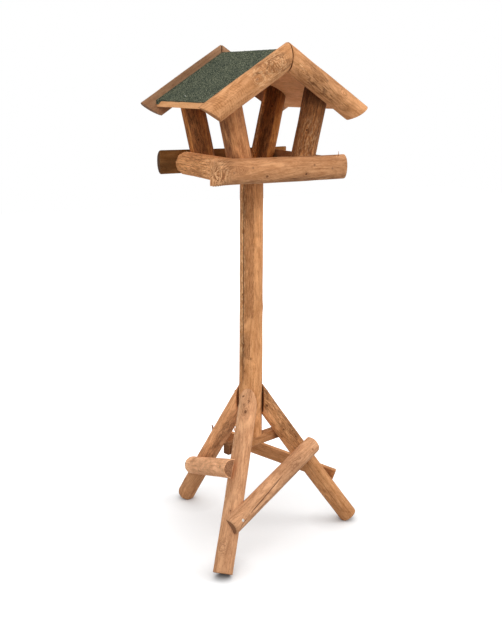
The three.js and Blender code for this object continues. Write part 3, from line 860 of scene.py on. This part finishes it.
logs["tray_floor"] = make_log(
    "sawn_floor", board_wood,
    board_section([(x * (inside_y - gap), y * floor_thickness / 2)
                   for x, y in ((-1, -1), (1, -1), (1, 1), (-1, 1))]),
    post_axis + (-inside_x + gap, 0, floor_bottom + floor_thickness / 2), (1, 0, 0), (0, 1, 0),
    2 * (inside_x - gap), 1.0, edge=0.6, seed=53, rough=0.8, tone=-0.08)

# Painted light and shade: the back rail is darker as a whole under the roof, the front rail darker
# underneath and along part of its top edge, the left rail lighter; the right rail has a dark strip
# along its top edge.
rail_looks = {
    "front": dict(
        seed=61, edge=4.0, tone=-0.12, vivid=-0.03, bow=(1.2, 90), sawn=(0.0, 0.3), step=1.6,
        knots=[(22, 128, 4.0), (19, 228, 4.4), (-12, 62, -7.0)],
        gnarls=[(10, 8, 26, 4.5), (-40, 12, 22, 3.5), (45, 10, 20, 3.0)],
        marks=[("vein", 20, 90, -10, 60, 0.8), ("bark", 55, 30, 20, 340, 0.5),
            ("tone", 64, 26, 0, 360, -0.12), ("tone", 0, 180, -40, 34, 0.28),
            ("soot", -80, 12, 230, 330, 0.5), ("vein", 55, 30, 0, 360, 0.5),
            ("bark", -84, 14, 180, 340, 0.7)]),
    "back": dict(
        seed=67, edge=3.0, tone=-0.76, tone_and_shade_at_head=-0.5, vivid=0.1, base={"bark": 0.8, "vein": 0.5},
        knots=[(10, 180, 5.0)], sawn=(0.6, 0.6)),
    "left": dict(
        seed=71, edge=1.5, tone=0.42, knots=[(30, 60, 3.0), (-20, 150, -6.0)],
        gnarls=[(-10, 14, 20, 1.4)],
        cracks=[(-34, -22, 5, 120, 1.8, 0.5), (-8, 4, 24, 232, 1.5, 0.35),
            (26, 18, 2, 112, 1.8, 0.45), (36, 48, 96, 235, 1.6, 0.5),
            (-24, -30, 110, 236, 1.4, 0.4)],
        marks=[("bark", 10, 70, 0, 240, 0.30), ("pale", 0, 60, 0, 120, 0.6)],
        base={"vein": 0.65}, wrinkle=2.2, rough=1.3, step=1.8),
    "right": dict(
        seed=73, edge=1.5, tone=-0.04, knots=[(0, 110, 5.0)],
        marks=[("bark", -10, 70, 0, 240, 0.45), ("tone", -86, 12, 0, 240, -0.85)],
        base={"vein": 0.6}, wrinkle=1.2),
}
for place, out, skew_deg, left_reach, right_reach, lift in (
        ("front", -1, 20, 171 * MM, 178.3 * MM, 0),
        ("back", 1, 8.5, 179.8 * MM, 167.3 * MM, 4 * MM)):
    skew = math.radians(skew_deg)
    cuts = []
    for hand, reach in ((1, right_reach), (-1, left_reach)):
        corner = post_axis + (hand * reach, out * inside_y, 0)
        cuts.append((corner, (hand * math.cos(skew), out * math.sin(skew), 0)))
    logs[f"rail_{place}"] = make_log(
        f"peeled_rail_{place}", peeled_wood, half_section(),
        post_axis + (-left_reach, out * inside_y, rail_axis + lift), (1, 0, 0), (0, out, 0),
        left_reach + right_reach, rail_radius, cuts=cuts, **rail_looks[place])
for place, out in (("left", -1), ("right", 1)):
    logs[f"rail_{place}"] = make_log(
        f"peeled_rail_{place}", peeled_wood, half_section(),
        post_axis + (out * inside_x, -inside_y + gap, rail_axis), (0, 1, 0), (out, 0, 0),
        2 * (inside_y - gap), rail_radius, **rail_looks[place])

# %% [markdown]
# ## The pillars
# Four short logs stand in the corners of the tray. They lean outward to meet the roof, and
# their heads are cut to its pitch. They were peeled least: most of their inner bark is left.
# Their darker, more saturated wood also holds painted shade, for they stand under the roof.

# %% Pillars
pillar_radius = 28 * MM
lean = math.radians(12.7)
pitch = math.radians(32.5)
slope = math.tan(pitch)
apex_height = 1200 * MM
felt_below_apex = 14 * MM
felt_thickness = 2 * MM
board_thickness = 11 * MM
felt_top = apex_height - felt_below_apex
felt_bottom = felt_top - felt_thickness / math.cos(pitch)
board_top = felt_bottom - gap / math.cos(pitch)
board_bottom = board_top - board_thickness / math.cos(pitch)
pillar_cut = board_bottom - gap / math.cos(pitch)
rail_top = rail_axis + rail_radius
pillar_y = inside_y - gap - pillar_radius
pillar_x = inside_x - gap - pillar_radius / math.cos(lean)
pillar_foot = floor_top + gap

# Painted light and shade: the pillars' tops under the roof are darkened, the front-right one grows
# darker toward its top, and the back-right one has a lit left edge and a darker core.
pillar_looks = {
    ("front", "left"): dict(
        seed=81, tone=0.14, vivid=-0.04, base={"bark": 0.05},
        marks=[("bark", 202, 34, 0, 300, 0.55), ("vein", 205, 50, 0, 300, 0.5)],
        knots=[(250, 235, 3.0)]),
    ("front", "right"): dict(
        seed=83, tone=0.34, tone_and_shade_at_head=-0.60, vivid=0.0, base={"bark": 0.55, "vein": 0.5},
        marks=[("soot", 0, 180, 196, 320, 0.6), ("pale", 0, 180, 0, 190, 0.32),
            ("tone", 180, 26, 0, 260, -0.15)],
        knots=[(230, 150, 4.0)]),
    ("back", "left"): dict(
        seed=87, tone=0.16, vivid=0.02, base={"bark": 0.5, "vein": 0.6},
        marks=[("bark", 235, 40, 0, 300, 0.8), ("soot", 0, 180, 205, 320, 0.4),
            ("tone", 190, 18, 0, 250, 0.3), ("tone", 250, 30, 0, 250, -0.12)],
        knots=[(240, 130, 4.0)]),
    ("back", "right"): dict(
        seed=89, tone=-0.08, vivid=0.05, base={"bark": 0.35, "vein": 0.6},
        marks=[("bark", 232, 40, 0, 300, 0.9), ("soot", 0, 180, 205, 320, 0.5),
            ("tone", 184, 10, 0, 240, 0.75), ("tone", 232, 16, 0, 260, -0.2),
            ("tone", 204, 18, -10, 150, 0.5), ("tone", 278, 24, 0, 225, 0.22),
            ("pale", 186, 16, 0, 240, 0.8)],
        knots=[(240, 200, 4.0)]),
}
for (end, side), looks in pillar_looks.items():
    towards = -1 if end == "front" else 1
    hand = -1 if side == "left" else 1
    low = pillar_foot - 2 * pillar_radius
    x = pillar_x + (low - rail_top) * math.tan(lean)
    start = post_axis + (hand * x, towards * pillar_y, low)
    along = np.array([hand * math.sin(lean), 0, math.cos(lean)])
    above = (hand * math.sin(pitch), 0, math.cos(pitch))
    logs[f"pillar_{end}_{side}"] = make_log(
        f"peeled_pillar_{end}_{side}", dark_wood, round_section(), start, along, (1, 0, 0),
        (board_top - low) / math.cos(lean), pillar_radius,
        cuts=[(post_axis + (0, 0, pillar_foot), (0, 0, -1)),
              (post_axis + (0, 0, pillar_cut), above)], edge=0.8, rough=1.2, **looks)

# %% [markdown]
# ## The roof
# Two boards meet on a mitre at the ridge. Half logs are nailed over their ends as
# bargeboards, with a plumb joint at the apex.

# %% Roof boards and bargeboards
roof_half = 148 * MM
eaves = {"left": 172.5 * MM, "right": 177 * MM}
for side, hand in (("left", -1), ("right", 1)):
    eave = eaves[side]
    outline = [(gap / 2, board_bottom - gap / 2 * slope), (eave, board_bottom - eave * slope),
               (eave, board_top - eave * slope), (gap / 2, board_top - gap / 2 * slope)]
    corners = [(hand * x, -z) for x, z in outline]
    logs[f"roof_board_{side}"] = make_log(
        f"sawn_roof_board_{side}", board_wood, board_section(corners),
        post_axis + (0, -roof_half + gap, 0), (0, 1, 0), (1, 0, 0), 2 * (roof_half - gap), 1.0,
        edge=0.6, seed=91 + hand, rough=1.0, tone=0.36)

barge_radius = 26 * MM
barge_span = 211 * MM
barge_tops = {"front": apex_height, "back": apex_height + 4 * MM}
barge_turn = math.radians(30.4)
apex_gap = 2.4 * MM
arris_bark = [("bark", 84, 13, -50, 400, 0.66), ("bark", -84, 13, -50, 400, 0.66)]
# Painted shade: the back bargeboards are darker under the eaves, and the sawn shares darken the
# apex ends in the joint.
barge_looks = {
    ("front", "left"): dict(
        seed=101, tone=-0.06, tone_and_shade_at_head=-0.10, sawn=(1.0, 0.2),
        knots=[(10, 100, -12.0), (50, 118, -8.0), (14, 152, -6.0)],
        gnarls=[(15, 95, 26, 0.5)],
        marks=[("chatter", 10, 85, 170, 330, 1.0), ("chatter", 50, 30, 100, 200, 0.6),
            ("vein", 20, 70, 50, 170, 1.1), ("bark", 0, 90, 50, 150, 0.35),
            ("pale", 10, 70, 60, 170, 0.8)] + arris_bark),
    ("front", "right"): dict(
        seed=103, tone=-0.08, tone_and_shade_at_head=0.0, vivid=0.0, sawn=(1.0, 0.2), knots=[(26, 92, -6.0),
        (-20, 205, -7.0)],
        marks=[("vein", 34, 34, 100, 205, 1.3), ("vein", 0, 80, 60, 260, 0.6),
            ("bark", 20, 60, 80, 180, 0.42), ("pale", 2, 26, 58, 104, 1.2),
            ("tone", 20, 70, 90, 210, -0.12)] + arris_bark),
    ("back", "left"): dict(
        seed=107, tone=-0.40, vivid=-0.10, knots=[(0, 150, 5.0)], base={"vein": 0.6},
        sawn=(1.0, 0.3),
        marks=[("bark", 0, 70, 60, 300, 0.5)] + arris_bark),
    ("back", "right"): dict(
        seed=109, tone=-0.34, vivid=-0.10, knots=[(0, 180, 5.0)], base={"vein": 0.6},
        sawn=(1.0, 0.3),
        marks=[("bark", 10, 60, 60, 280, 0.45)] + arris_bark),
}
for (end, side), looks in barge_looks.items():
    towards = -1 if end == "front" else 1
    hand = -1 if side == "left" else 1
    down = np.array([hand * math.cos(pitch), 0, -math.sin(pitch)])
    axis_top = barge_tops[end] - barge_radius / math.cos(pitch)
    start = post_axis + (0, towards * roof_half, axis_top) - down * 2 * barge_radius
    corner = post_axis + (hand * barge_span, 0, barge_tops[end] - barge_span * slope)
    logs[f"barge_{end}_{side}"] = make_log(
        f"peeled_barge_{end}_{side}", pale_wood, half_section(), start, down, (0, towards, 0),
        barge_span / math.cos(pitch) + 4 * barge_radius, barge_radius,
        cuts=[(post_axis + (hand * apex_gap / 2, 0, 0), (-hand, 0, 0)),
              (corner, (hand * math.sin(barge_turn), 0, -math.cos(barge_turn)))],
        edge=1.2, rough=1.1, **looks)
print(len(logs), "pieces of timber,", sum(len(o.data.polygons) for o in logs.values()), "faces")

# %% [markdown]
# A knife never leaves a pole quite clean. A splinter stands on the front rail's end, a twig's
# stub on a leg, and a few pale chips still cling to edges. Each is a tiny tapered log, set
# with its foot inside the skin of a bigger one.

# %% Splinters and chips
def skin_point(name, turn_deg, place, sunk):
    origin, axes, radius = log_frames[name]
    turn = math.radians(turn_deg)
    reach = radius - sunk * MM
    return origin + np.array([math.cos(turn) * reach, math.sin(turn) * reach, place * MM]) @ axes


splinters = []
for log_name, turn_deg, place, sunk, lean_to, length_mm, thick, tip, shade in (
        ("peeled_rail_front", -62, 322, 1.5, (0.10, 0.0, 1.0), 13, 1.3, 0.3, -0.3),
        ("peeled_rail_front", -66, 317, 1.0, (-0.9, 0.1, 0.35), 7, 0.9, 0.3, -0.1),
        ("peeled_leg_left", 40, 261, 1.5, (-0.14, 0.08, 1.0), 17, 2.6, 0.7, -0.5),
        ("peeled_leg_front", -76, 336, 0.4, (0.1, 0.2, 0.9), 8, 1.8, 0.3, 0.3),
        ("peeled_leg_front", -74, 350, 0.4, (0.3, 0.1, 0.9), 6, 1.3, 0.3, 0.3),
        ("peeled_post", 186, 470, 0.4, (0.0, 0.0, 1.0), 14, 1.2, 0.3, 0.3),
        ("peeled_post", 184, 330, 0.4, (0.0, 0.0, 1.0), 12, 1.3, 0.3, 0.3)):
    start = skin_point(log_name, turn_deg, place, sunk)
    splinters.append(make_log(
        f"splinter_{len(splinters) + 1}", pale_wood, round_section(12), start, lean_to,
        (0.6, -0.8, 0.05), length_mm * MM, thick * MM, tip * thick * MM, edge=0.25, rough=0.3,
        seed=120 + len(splinters), bow=(0.8, 40), tone=shade, step=1.0))
print(len(splinters), "splinters and chips")

# %% [markdown]
# ## Rules for small repeated things
# Nails, staples and the grit of roofing felt all follow a rule: one small shape, repeated at
# many places with a little chance in it. Geometry Nodes says such a rule best. A tree takes a
# mesh of places, puts a copy at each, turns it to the directions kept on the places, and ends
# by making the copies real. The helpers here build a tree with named inputs and run it once.

# %% Helpers for Geometry Nodes
socket_kinds = {float: "NodeSocketFloat", int: "NodeSocketInt"}


def new_rule(name, defaults):
    rule = bpy.data.node_groups.new(name, "GeometryNodeTree")
    rule.interface.new_socket("Geometry", in_out="INPUT", socket_type="NodeSocketGeometry")
    for label, value in defaults.items():
        made = rule.interface.new_socket(label, in_out="INPUT",
                                         socket_type=socket_kinds[type(value)])
        made.default_value = value
    rule.interface.new_socket("Geometry", in_out="OUTPUT", socket_type="NodeSocketGeometry")
    inputs = rule.nodes.new("NodeGroupInput")
    return rule, lambda label: Wire(rule, inputs.outputs[label])


def end_rule(rule, geometry, material):
    real = add(rule, "GeometryNodeRealizeInstances", {"Geometry": geometry})
    painted = add(rule, "GeometryNodeSetMaterial", {"Geometry": real.outputs[0],
                                                    "Material": material})
    add(rule, "NodeGroupOutput", {0: painted.outputs[0]})


def run_rule(places, rule, values):
    modifier = places.modifiers.new("rule", "NODES")
    modifier.node_group = rule
    for item in rule.interface.items_tree:
        if item.in_out == "INPUT" and item.name in values:
            modifier[item.identifier] = values[item.name]
    evaluated = places.evaluated_get(bpy.context.evaluated_depsgraph_get())
    mesh = bpy.data.meshes.new_from_object(evaluated)
    places.modifiers.remove(modifier)
    places.data = mesh
    mesh.name = places.name


def xyz(rule, x=0.0, y=0.0, z=0.0):
    return add(rule, "ShaderNodeCombineXYZ", {"X": x, "Y": y, "Z": z}).outputs[0]


def moved(rule, shape, where):
    return add(rule, "GeometryNodeTransform", {"Geometry": shape,
                                               "Translation": where}).outputs[0]


def joined(rule, *shapes):
    made = add(rule, "GeometryNodeJoinGeometry")
    for shape in shapes:
        rule.links.new(shape, made.inputs[0])
    return made.outputs[0]


def copies(rule, places, shape, heading, scale=(1.0, 1.0, 1.0)):
    return add(rule, "GeometryNodeInstanceOnPoints", {
        "Points": places, "Instance": shape, "Rotation": heading, "Scale": scale}).outputs[0]


def named(rule, name, kind="FLOAT_VECTOR"):
    return add(rule, "GeometryNodeInputNamedAttribute", {"Name": name},
               data_type=kind).outputs[0]


def turned_to(rule):
    upright = add(rule, "FunctionNodeAlignRotationToVector", {"Vector": named(rule, "out")},
                  axis="Z")
    return add(rule, "FunctionNodeAlignRotationToVector",
               {"Rotation": upright.outputs[0], "Vector": named(rule, "along")},
               axis="X", pivot_axis="Z").outputs[0]


def chance(rule, low, high, seed):
    return add(rule, "FunctionNodeRandomValue", {0: low, 1: high, "Seed": seed},
               data_type="FLOAT_VECTOR").outputs[0]


def shaken(rule, heading, low, high, seed):
    spin = add(rule, "FunctionNodeEulerToRotation", {0: chance(rule, low, high, seed)})
    return add(rule, "FunctionNodeRotateRotation", {0: heading, 1: spin.outputs[0]},
               rotation_space="LOCAL").outputs[0]


# %% [markdown]
# ## The nails
# Every nail is where the solid one is: its tip and its head are read off the solid. The logs
# have lost their perfect roundness, so a ray along the nail finds the skin and the head is
# set just into it. Hammering bruised the wood and the steel stained it, so the log's points
# near a nail are pressed in and marked.

# %% Where the nails are
def nail_line(node):
    points = np.array([v.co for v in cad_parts[node].data.vertices])
    middle = points.mean(0)
    spread = np.linalg.svd(points - middle)[2][0]
    heights = (points - middle) @ spread
    widths = np.linalg.norm(points - middle - np.outer(heights, spread), axis=1)
    if heights[widths > 3 * MM].mean() < 0:
        spread = -spread
        heights = -heights
    return middle + spread * heights.max(), middle + spread * heights.min(), spread


def bruise(log, head, out, strength, reach=7 * MM, depth=0.5 * MM):
    mesh = log.data
    points = np.zeros(len(mesh.vertices) * 3)
    mesh.vertices.foreach_get("co", points)
    points = points.reshape(-1, 3)
    height = (points - head) @ out
    away = np.linalg.norm(points - head - np.outer(height, out), axis=1)
    near = (away < reach) & (np.abs(height) < 6 * MM)
    share = np.clip(1 - away / reach, 0, 1) * near
    points -= np.outer(share * depth, out)
    mesh.vertices.foreach_set("co", points.ravel())
    layer = mesh.attributes["stain"]
    stain = np.zeros(len(points), np.float32)
    layer.data.foreach_get("value", stain)
    layer.data.foreach_set("value", np.maximum(stain, strength * share).astype(np.float32))


def log_under(node):
    kind, *words = node.split("_")[1:]
    names = {"leg": f"leg_{words[0]}", "brace": f"brace_{words[0]}", "batten": "batten",
             "floor": f"rail_{words[-1]}", "post": "tray_floor", "corner": f"rail_{words[0]}",
             "pillar": f"rail_{words[0]}", "barge": "barge_" + "_".join(words)}
    return logs[names[kind]]


bruises = {"leg": 0.26, "brace": 0.24}
nails = {"bright": [], "tarnished": [], "dull": []}
for node in sorted(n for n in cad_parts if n.startswith("nail_")):
    head, tip, out = nail_line(node)
    kind = node.split("_")[1]
    if kind != "roof":
        log = log_under(node)
        skin = BVHTree.FromPolygons([v.co for v in log.data.vertices],
                                    [p.vertices[:] for p in log.data.polygons])
        hit = skin.ray_cast(Vector(head + out * 15 * MM), Vector(-out), 0.05)[0]
        if hit is not None:
            head = np.array(hit) + out * 0.1 * MM
        bruise(log, head, out, bruises.get(kind, 0.0))
    look = "dull" if kind == "leg" else "tarnished"
    if node == "nail_brace_front_low":
        look = "bright"
    nails[look].append((node, head, out, np.linalg.norm(head - tip)))
print({look: len(found) for look, found in nails.items()})

# %% [markdown]
# A wire nail is a short wide cylinder on a long thin one, with a chamfered rim. The rule
# scales only the shank to the nail's length and gives each nail a few degrees of its own.

# %% The nail rule
def steel(name, colour, rust_colour, rust, roughness):
    material, tree = new_material(name)
    place = add(tree, "ShaderNodeTexCoord").outputs["Object"]
    amount = cloud(tree, place, 900.0, 4.0).remap(0.62 - rust, 0.72 - rust)
    finish_material(tree, blend(tree, amount, colour, rust_colour),
                    amount.remap(0.0, 1.0, roughness, 0.9, "LINEAR"),
                    cloud(tree, place, 3500.0, 2.0), 0.1 * MM,
                    Metallic=amount.remap(0.0, 1.0, 0.1 if rust else 0.85, 0.1, "LINEAR"))
    return material


steels = {
    "bright": steel("bright_steel", (0.62, 0.60, 0.56), (0.20, 0.09, 0.04), 0.0, 0.38),
    "tarnished": steel("tarnished_steel", (0.46, 0.22, 0.095), (0.30, 0.125, 0.045), 0.12, 0.75),
    "dull": steel("dull_steel", (0.40, 0.19, 0.085), (0.18, 0.072, 0.026), 0.08, 0.75),
}


def nail_rule(material):
    rule, given = new_rule("wire_nails_" + material.name, {
        "Head radius": 3.6 * MM, "Head thickness": 1.3 * MM, "Shank radius": 1.7 * MM,
        "Tilt": 0.05, "Seed": 3})

    def disc(vertices, bottom, top, depth, drop):
        made = add(rule, "GeometryNodeMeshCone", {
            "Vertices": vertices, "Radius Bottom": bottom, "Radius Top": top, "Depth": depth})
        return moved(rule, made.outputs[0], xyz(rule, z=drop))

    radius, thickness, tilt = (given(x) for x in ("Head radius", "Head thickness", "Tilt"))
    plate = disc(28, radius, radius, thickness * 0.65, thickness * -1.0)
    chamfer = disc(28, radius, radius * 0.86, thickness * 0.35, thickness * -0.35)
    shank = disc(12, given("Shank radius"), given("Shank radius"), 1.0, -1.0)
    heading = shaken(rule, turned_to(rule), xyz(rule, tilt * -1.0, tilt * -1.0),
                     xyz(rule, tilt, tilt), given("Seed"))
    heads = copies(rule, given("Geometry"), joined(rule, plate, chamfer), heading)
    shanks = copies(rule, given("Geometry"), shank, heading,
                    xyz(rule, 1.0, 1.0, named(rule, "length", "FLOAT")))
    end_rule(rule, joined(rule, heads, shanks), material)
    return rule


small_parts = []
for look, found in nails.items():
    nodes, heads, outs, lengths = zip(*found)
    places = build(f"wire_nails_{look}", heads, out=outs,
                   along=np.cross(outs, (0.3, 0.5, 0.81)), length=lengths)
    run_rule(places, nail_rule(steels[look]), {"Seed": 3})
    small_parts.append((places, nodes, "nail_steel"))
    print(places.name, len(places.data.polygons), "faces")

# %% [markdown]
# ## The roofing felt
# Mineral felt is a bitumen sheet rolled in crushed slate. Here one sheet is folded over the
# ridge. Its lower edges were cut by hand, so they wander and lift a little, and one corner is
# folded down over the board's end. The sheet is drawn as a grid along the slope; each line of
# points starts at one eave, goes over the ridge and ends at the other.

# %% Felt sheet
felt_columns = 150
felt_rows = 90
felt_half = 147.5 * MM
edge_wander = 1.3
corner_fold = 8.5
felt_ripple = 0.35
edge_curl = 1.1
fold_turn = math.radians(50)


def slope_point(side, distance):
    return np.array([side * distance * math.cos(pitch), felt_top - distance * math.sin(pitch)])


def felt_profile(y):
    fold = smooth_patch(np.array([y]), 118 * MM, 200 * MM, 0.02)[0]
    left, right = (noise.noise(Vector(p)) for p in ((y * 22, 3.1, 0.5), (y * 20, 8.2, 2.5)))
    over = {-1: (1.4 + edge_wander * left + corner_fold * fold) * MM,
            1: (1.6 + edge_wander * right) * MM}
    top = []
    for side, eave in ((-1, eaves["left"]), (1, eaves["right"])):
        full = eave / math.cos(pitch)
        half = []
        for share in np.linspace(0.0, 1.0, felt_columns // 2):
            distance = share * (full + over[side])
            beyond = max(0.0, distance - full)
            point = slope_point(side, distance - beyond)
            bend = fold_turn * min(1.0, beyond / (4 * MM))
            point = point + beyond * np.array([side * math.cos(pitch + bend),
                                               -math.sin(pitch + bend)])
            near_edge = max(0.0, share - 0.86) / 0.14
            lift = felt_ripple * noise.noise(Vector((side * distance * 30, y * 30, 7.7)))
            wave = noise.noise(Vector((y * 38, side * 2.0, 1.7)))
            lift += edge_curl * near_edge * (0.5 + wave)
            half.append(point + lift * MM * np.array([side * math.sin(pitch), math.cos(pitch)]))
        top.append(half)
    return top[0][::-1] + top[1][1:]


felt_lines = post_axis + np.array([[(x, y, z) for x, z in felt_profile(y)]
                                   for y in np.linspace(-felt_half, felt_half, felt_rows)])
rows, columns = felt_lines.shape[:2]
across = np.gradient(felt_lines, axis=1)
down = np.stack([-across[..., 2], np.zeros((rows, columns)), across[..., 0]], -1)
down /= np.linalg.norm(down, axis=-1)[..., None]
felt_under = felt_lines - down * felt_thickness

felt_points = np.concatenate([felt_lines.reshape(-1, 3), felt_under.reshape(-1, 3)])
lower = rows * columns
top_faces = [(k, k + 1, k + 1 + columns, k + columns)
             for first in range(0, lower - columns, columns)
             for k in range(first, first + columns - 1)]
felt_faces = []
for face in top_faces:
    felt_faces += [face, tuple(lower + k for k in face[::-1])]
rim = [(0, k) for k in range(columns)] + [(i, columns - 1) for i in range(1, rows)]
rim += [(rows - 1, k) for k in range(columns - 2, -1, -1)]
rim += [(i, 0) for i in range(rows - 2, 0, -1)]
for (i, k), (m, n) in zip(rim, rim[1:] + rim[:1]):
    a, b = i * columns + k, m * columns + n
    felt_faces.append((a, a + lower, b + lower, b))
felt_sheet = build("felt_sheet", felt_points, felt_faces)
felt_sheet.data.shade_smooth()
felt_sheet.data.set_sharp_from_angle(angle=math.radians(50))
print("felt:", rows, "lines of", columns, "points")

# %% [markdown]
# The felt's colour is bitumen between grains of green-grey slate. The grains stand up as real
# geometry: a rule scatters them over the sheet, each with its own size, turn and shade.

# %% Felt material and its grit
def felt_material(name, grains):
    material, tree = new_material(name)
    place = add(tree, "ShaderNodeTexCoord").outputs["Object"]
    cells = add(tree, "ShaderNodeTexVoronoi", {"Vector": place, "Scale": 620.0})
    shade = read(tree, "shade")
    if not grains:
        shade = Wire(tree, add(tree, "ShaderNodeSeparateColor",
                               {0: cells.outputs["Color"]}).outputs[0])
    shade = shade + cloud(tree, place, 330.0, 2.0).remap(0.3, 0.7, -0.55, 0.55, "LINEAR")
    colour = blend(tree, shade.remap(0.0, 0.55, kind="LINEAR"),
                   (0.007, 0.009, 0.005), (0.052, 0.067, 0.043))
    colour = blend(tree, shade.remap(0.55, 0.95, kind="LINEAR"), colour, (0.22, 0.23, 0.145))
    colour = blend(tree, cloud(tree, place, 28.0, 3.0).remap(0.35, 0.7, 0.0, 0.35), colour,
                   (0.040, 0.052, 0.036))
    gap_depth = Wire(tree, cells.outputs["Distance"]).remap(0.0, 0.8, 1.0, 0.0)
    finish_material(tree, colour, 0.92, gap_depth, 0.8 * MM, Specular_IOR_Level=0.2)
    return material


felt_sheet.data.materials.append(felt_material("felt_base", grains=False))


def grit_rule():
    rule, given = new_rule("felt_grit", {"Grains per square metre": 190000.0,
                                         "Grain size": 1.0 * MM, "Seed": 11})
    seed = given("Seed")
    points = add(rule, "GeometryNodeDistributePointsOnFaces", {
        "Mesh": given("Geometry"), "Density": given("Grains per square metre"), "Seed": seed})
    grain = add(rule, "GeometryNodeMeshUVSphere", {"Segments": 4, "Rings": 2, "Radius": 1.0})
    size = add(rule, "ShaderNodeVectorMath", {
        0: chance(rule, (0.45, 0.45, 0.35), (1.15, 1.0, 0.75), seed),
        "Scale": given("Grain size")}, operation="SCALE")
    heading = shaken(rule, points.outputs["Rotation"], (-0.5, -0.5, -3.1), (0.5, 0.5, 3.1),
                     seed + 1)
    grains = copies(rule, points.outputs["Points"], grain.outputs["Mesh"], heading,
                    size.outputs[0])
    shade = add(rule, "FunctionNodeRandomValue", {2: 0.0, 3: 1.0, "Seed": seed + 2})
    shaded = add(rule, "GeometryNodeStoreNamedAttribute", {
        "Geometry": grains, "Name": "shade", "Value": shade.outputs[1]},
        domain="INSTANCE", data_type="FLOAT")
    end_rule(rule, shaded.outputs[0], felt_material("felt_grit", grains=True))
    return rule


grit = grit_rule()
for side, seed, first, last in (("left", 11, 0, columns // 2),
                                ("right", 12, columns // 2, columns)):
    chosen = [face for face in top_faces if first <= face[0] % columns < last]
    slope_grit = build(f"felt_grit_{side}", felt_lines.reshape(-1, 3), chosen)
    run_rule(slope_grit, grit, {"Seed": seed})
    small_parts.append((slope_grit, [], "roofing_felt"))
    print(slope_grit.name, len(slope_grit.data.polygons), "faces")

# %% [markdown]
# Wire staples hold the felt. One shows bright near the left eave.

# %% Staples
def felt_spot(side, down_slope, y):
    tilt = np.array([side * math.sin(pitch), 0, math.cos(pitch)])
    x, z = slope_point(side, down_slope)
    return post_axis + (x, y, z) + tilt * 0.55 * MM, tilt


rule, given = new_rule("staples", {"Crown": 10.5 * MM, "Wire": 0.9 * MM})
crown, wire = given("Crown"), given("Wire")


def staple_bar(*size):
    return add(rule, "GeometryNodeMeshCube", {"Size": xyz(rule, *size)}).outputs[0]


staple_legs = [moved(rule, staple_bar(wire, wire, wire * 3.0),
                     xyz(rule, crown * hand, 0.0, wire * -1.4)) for hand in (-0.46, 0.46)]
staple = joined(rule, staple_bar(crown, wire, wire * 0.6), *staple_legs)
end_rule(rule, copies(rule, given("Geometry"), staple, turned_to(rule)), steels["bright"])
places, outs = zip(felt_spot(-1, 186 * MM, 24 * MM), felt_spot(1, 186 * MM, -60 * MM),
                   felt_spot(1, 184 * MM, 70 * MM))
staples = build("felt_staples", places, out=outs,
                along=[(0.3, 1, 0.1), (0, 1, 0), (0.1, 1, 0)])
run_rule(staples, rule, {})
small_parts.append((staples, [], "nail_steel"))
print("staples:", len(places))

# %% Fit the pieces to their bodies
for node, piece in logs.items():
    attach(piece, "root")
    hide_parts(node)

for splinter in splinters:
    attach(splinter, "root")

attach(felt_sheet, "root")
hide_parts("roof_felt")
for piece, nodes, slot in small_parts:
    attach(piece, "root")
    if nodes:
        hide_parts(*nodes)
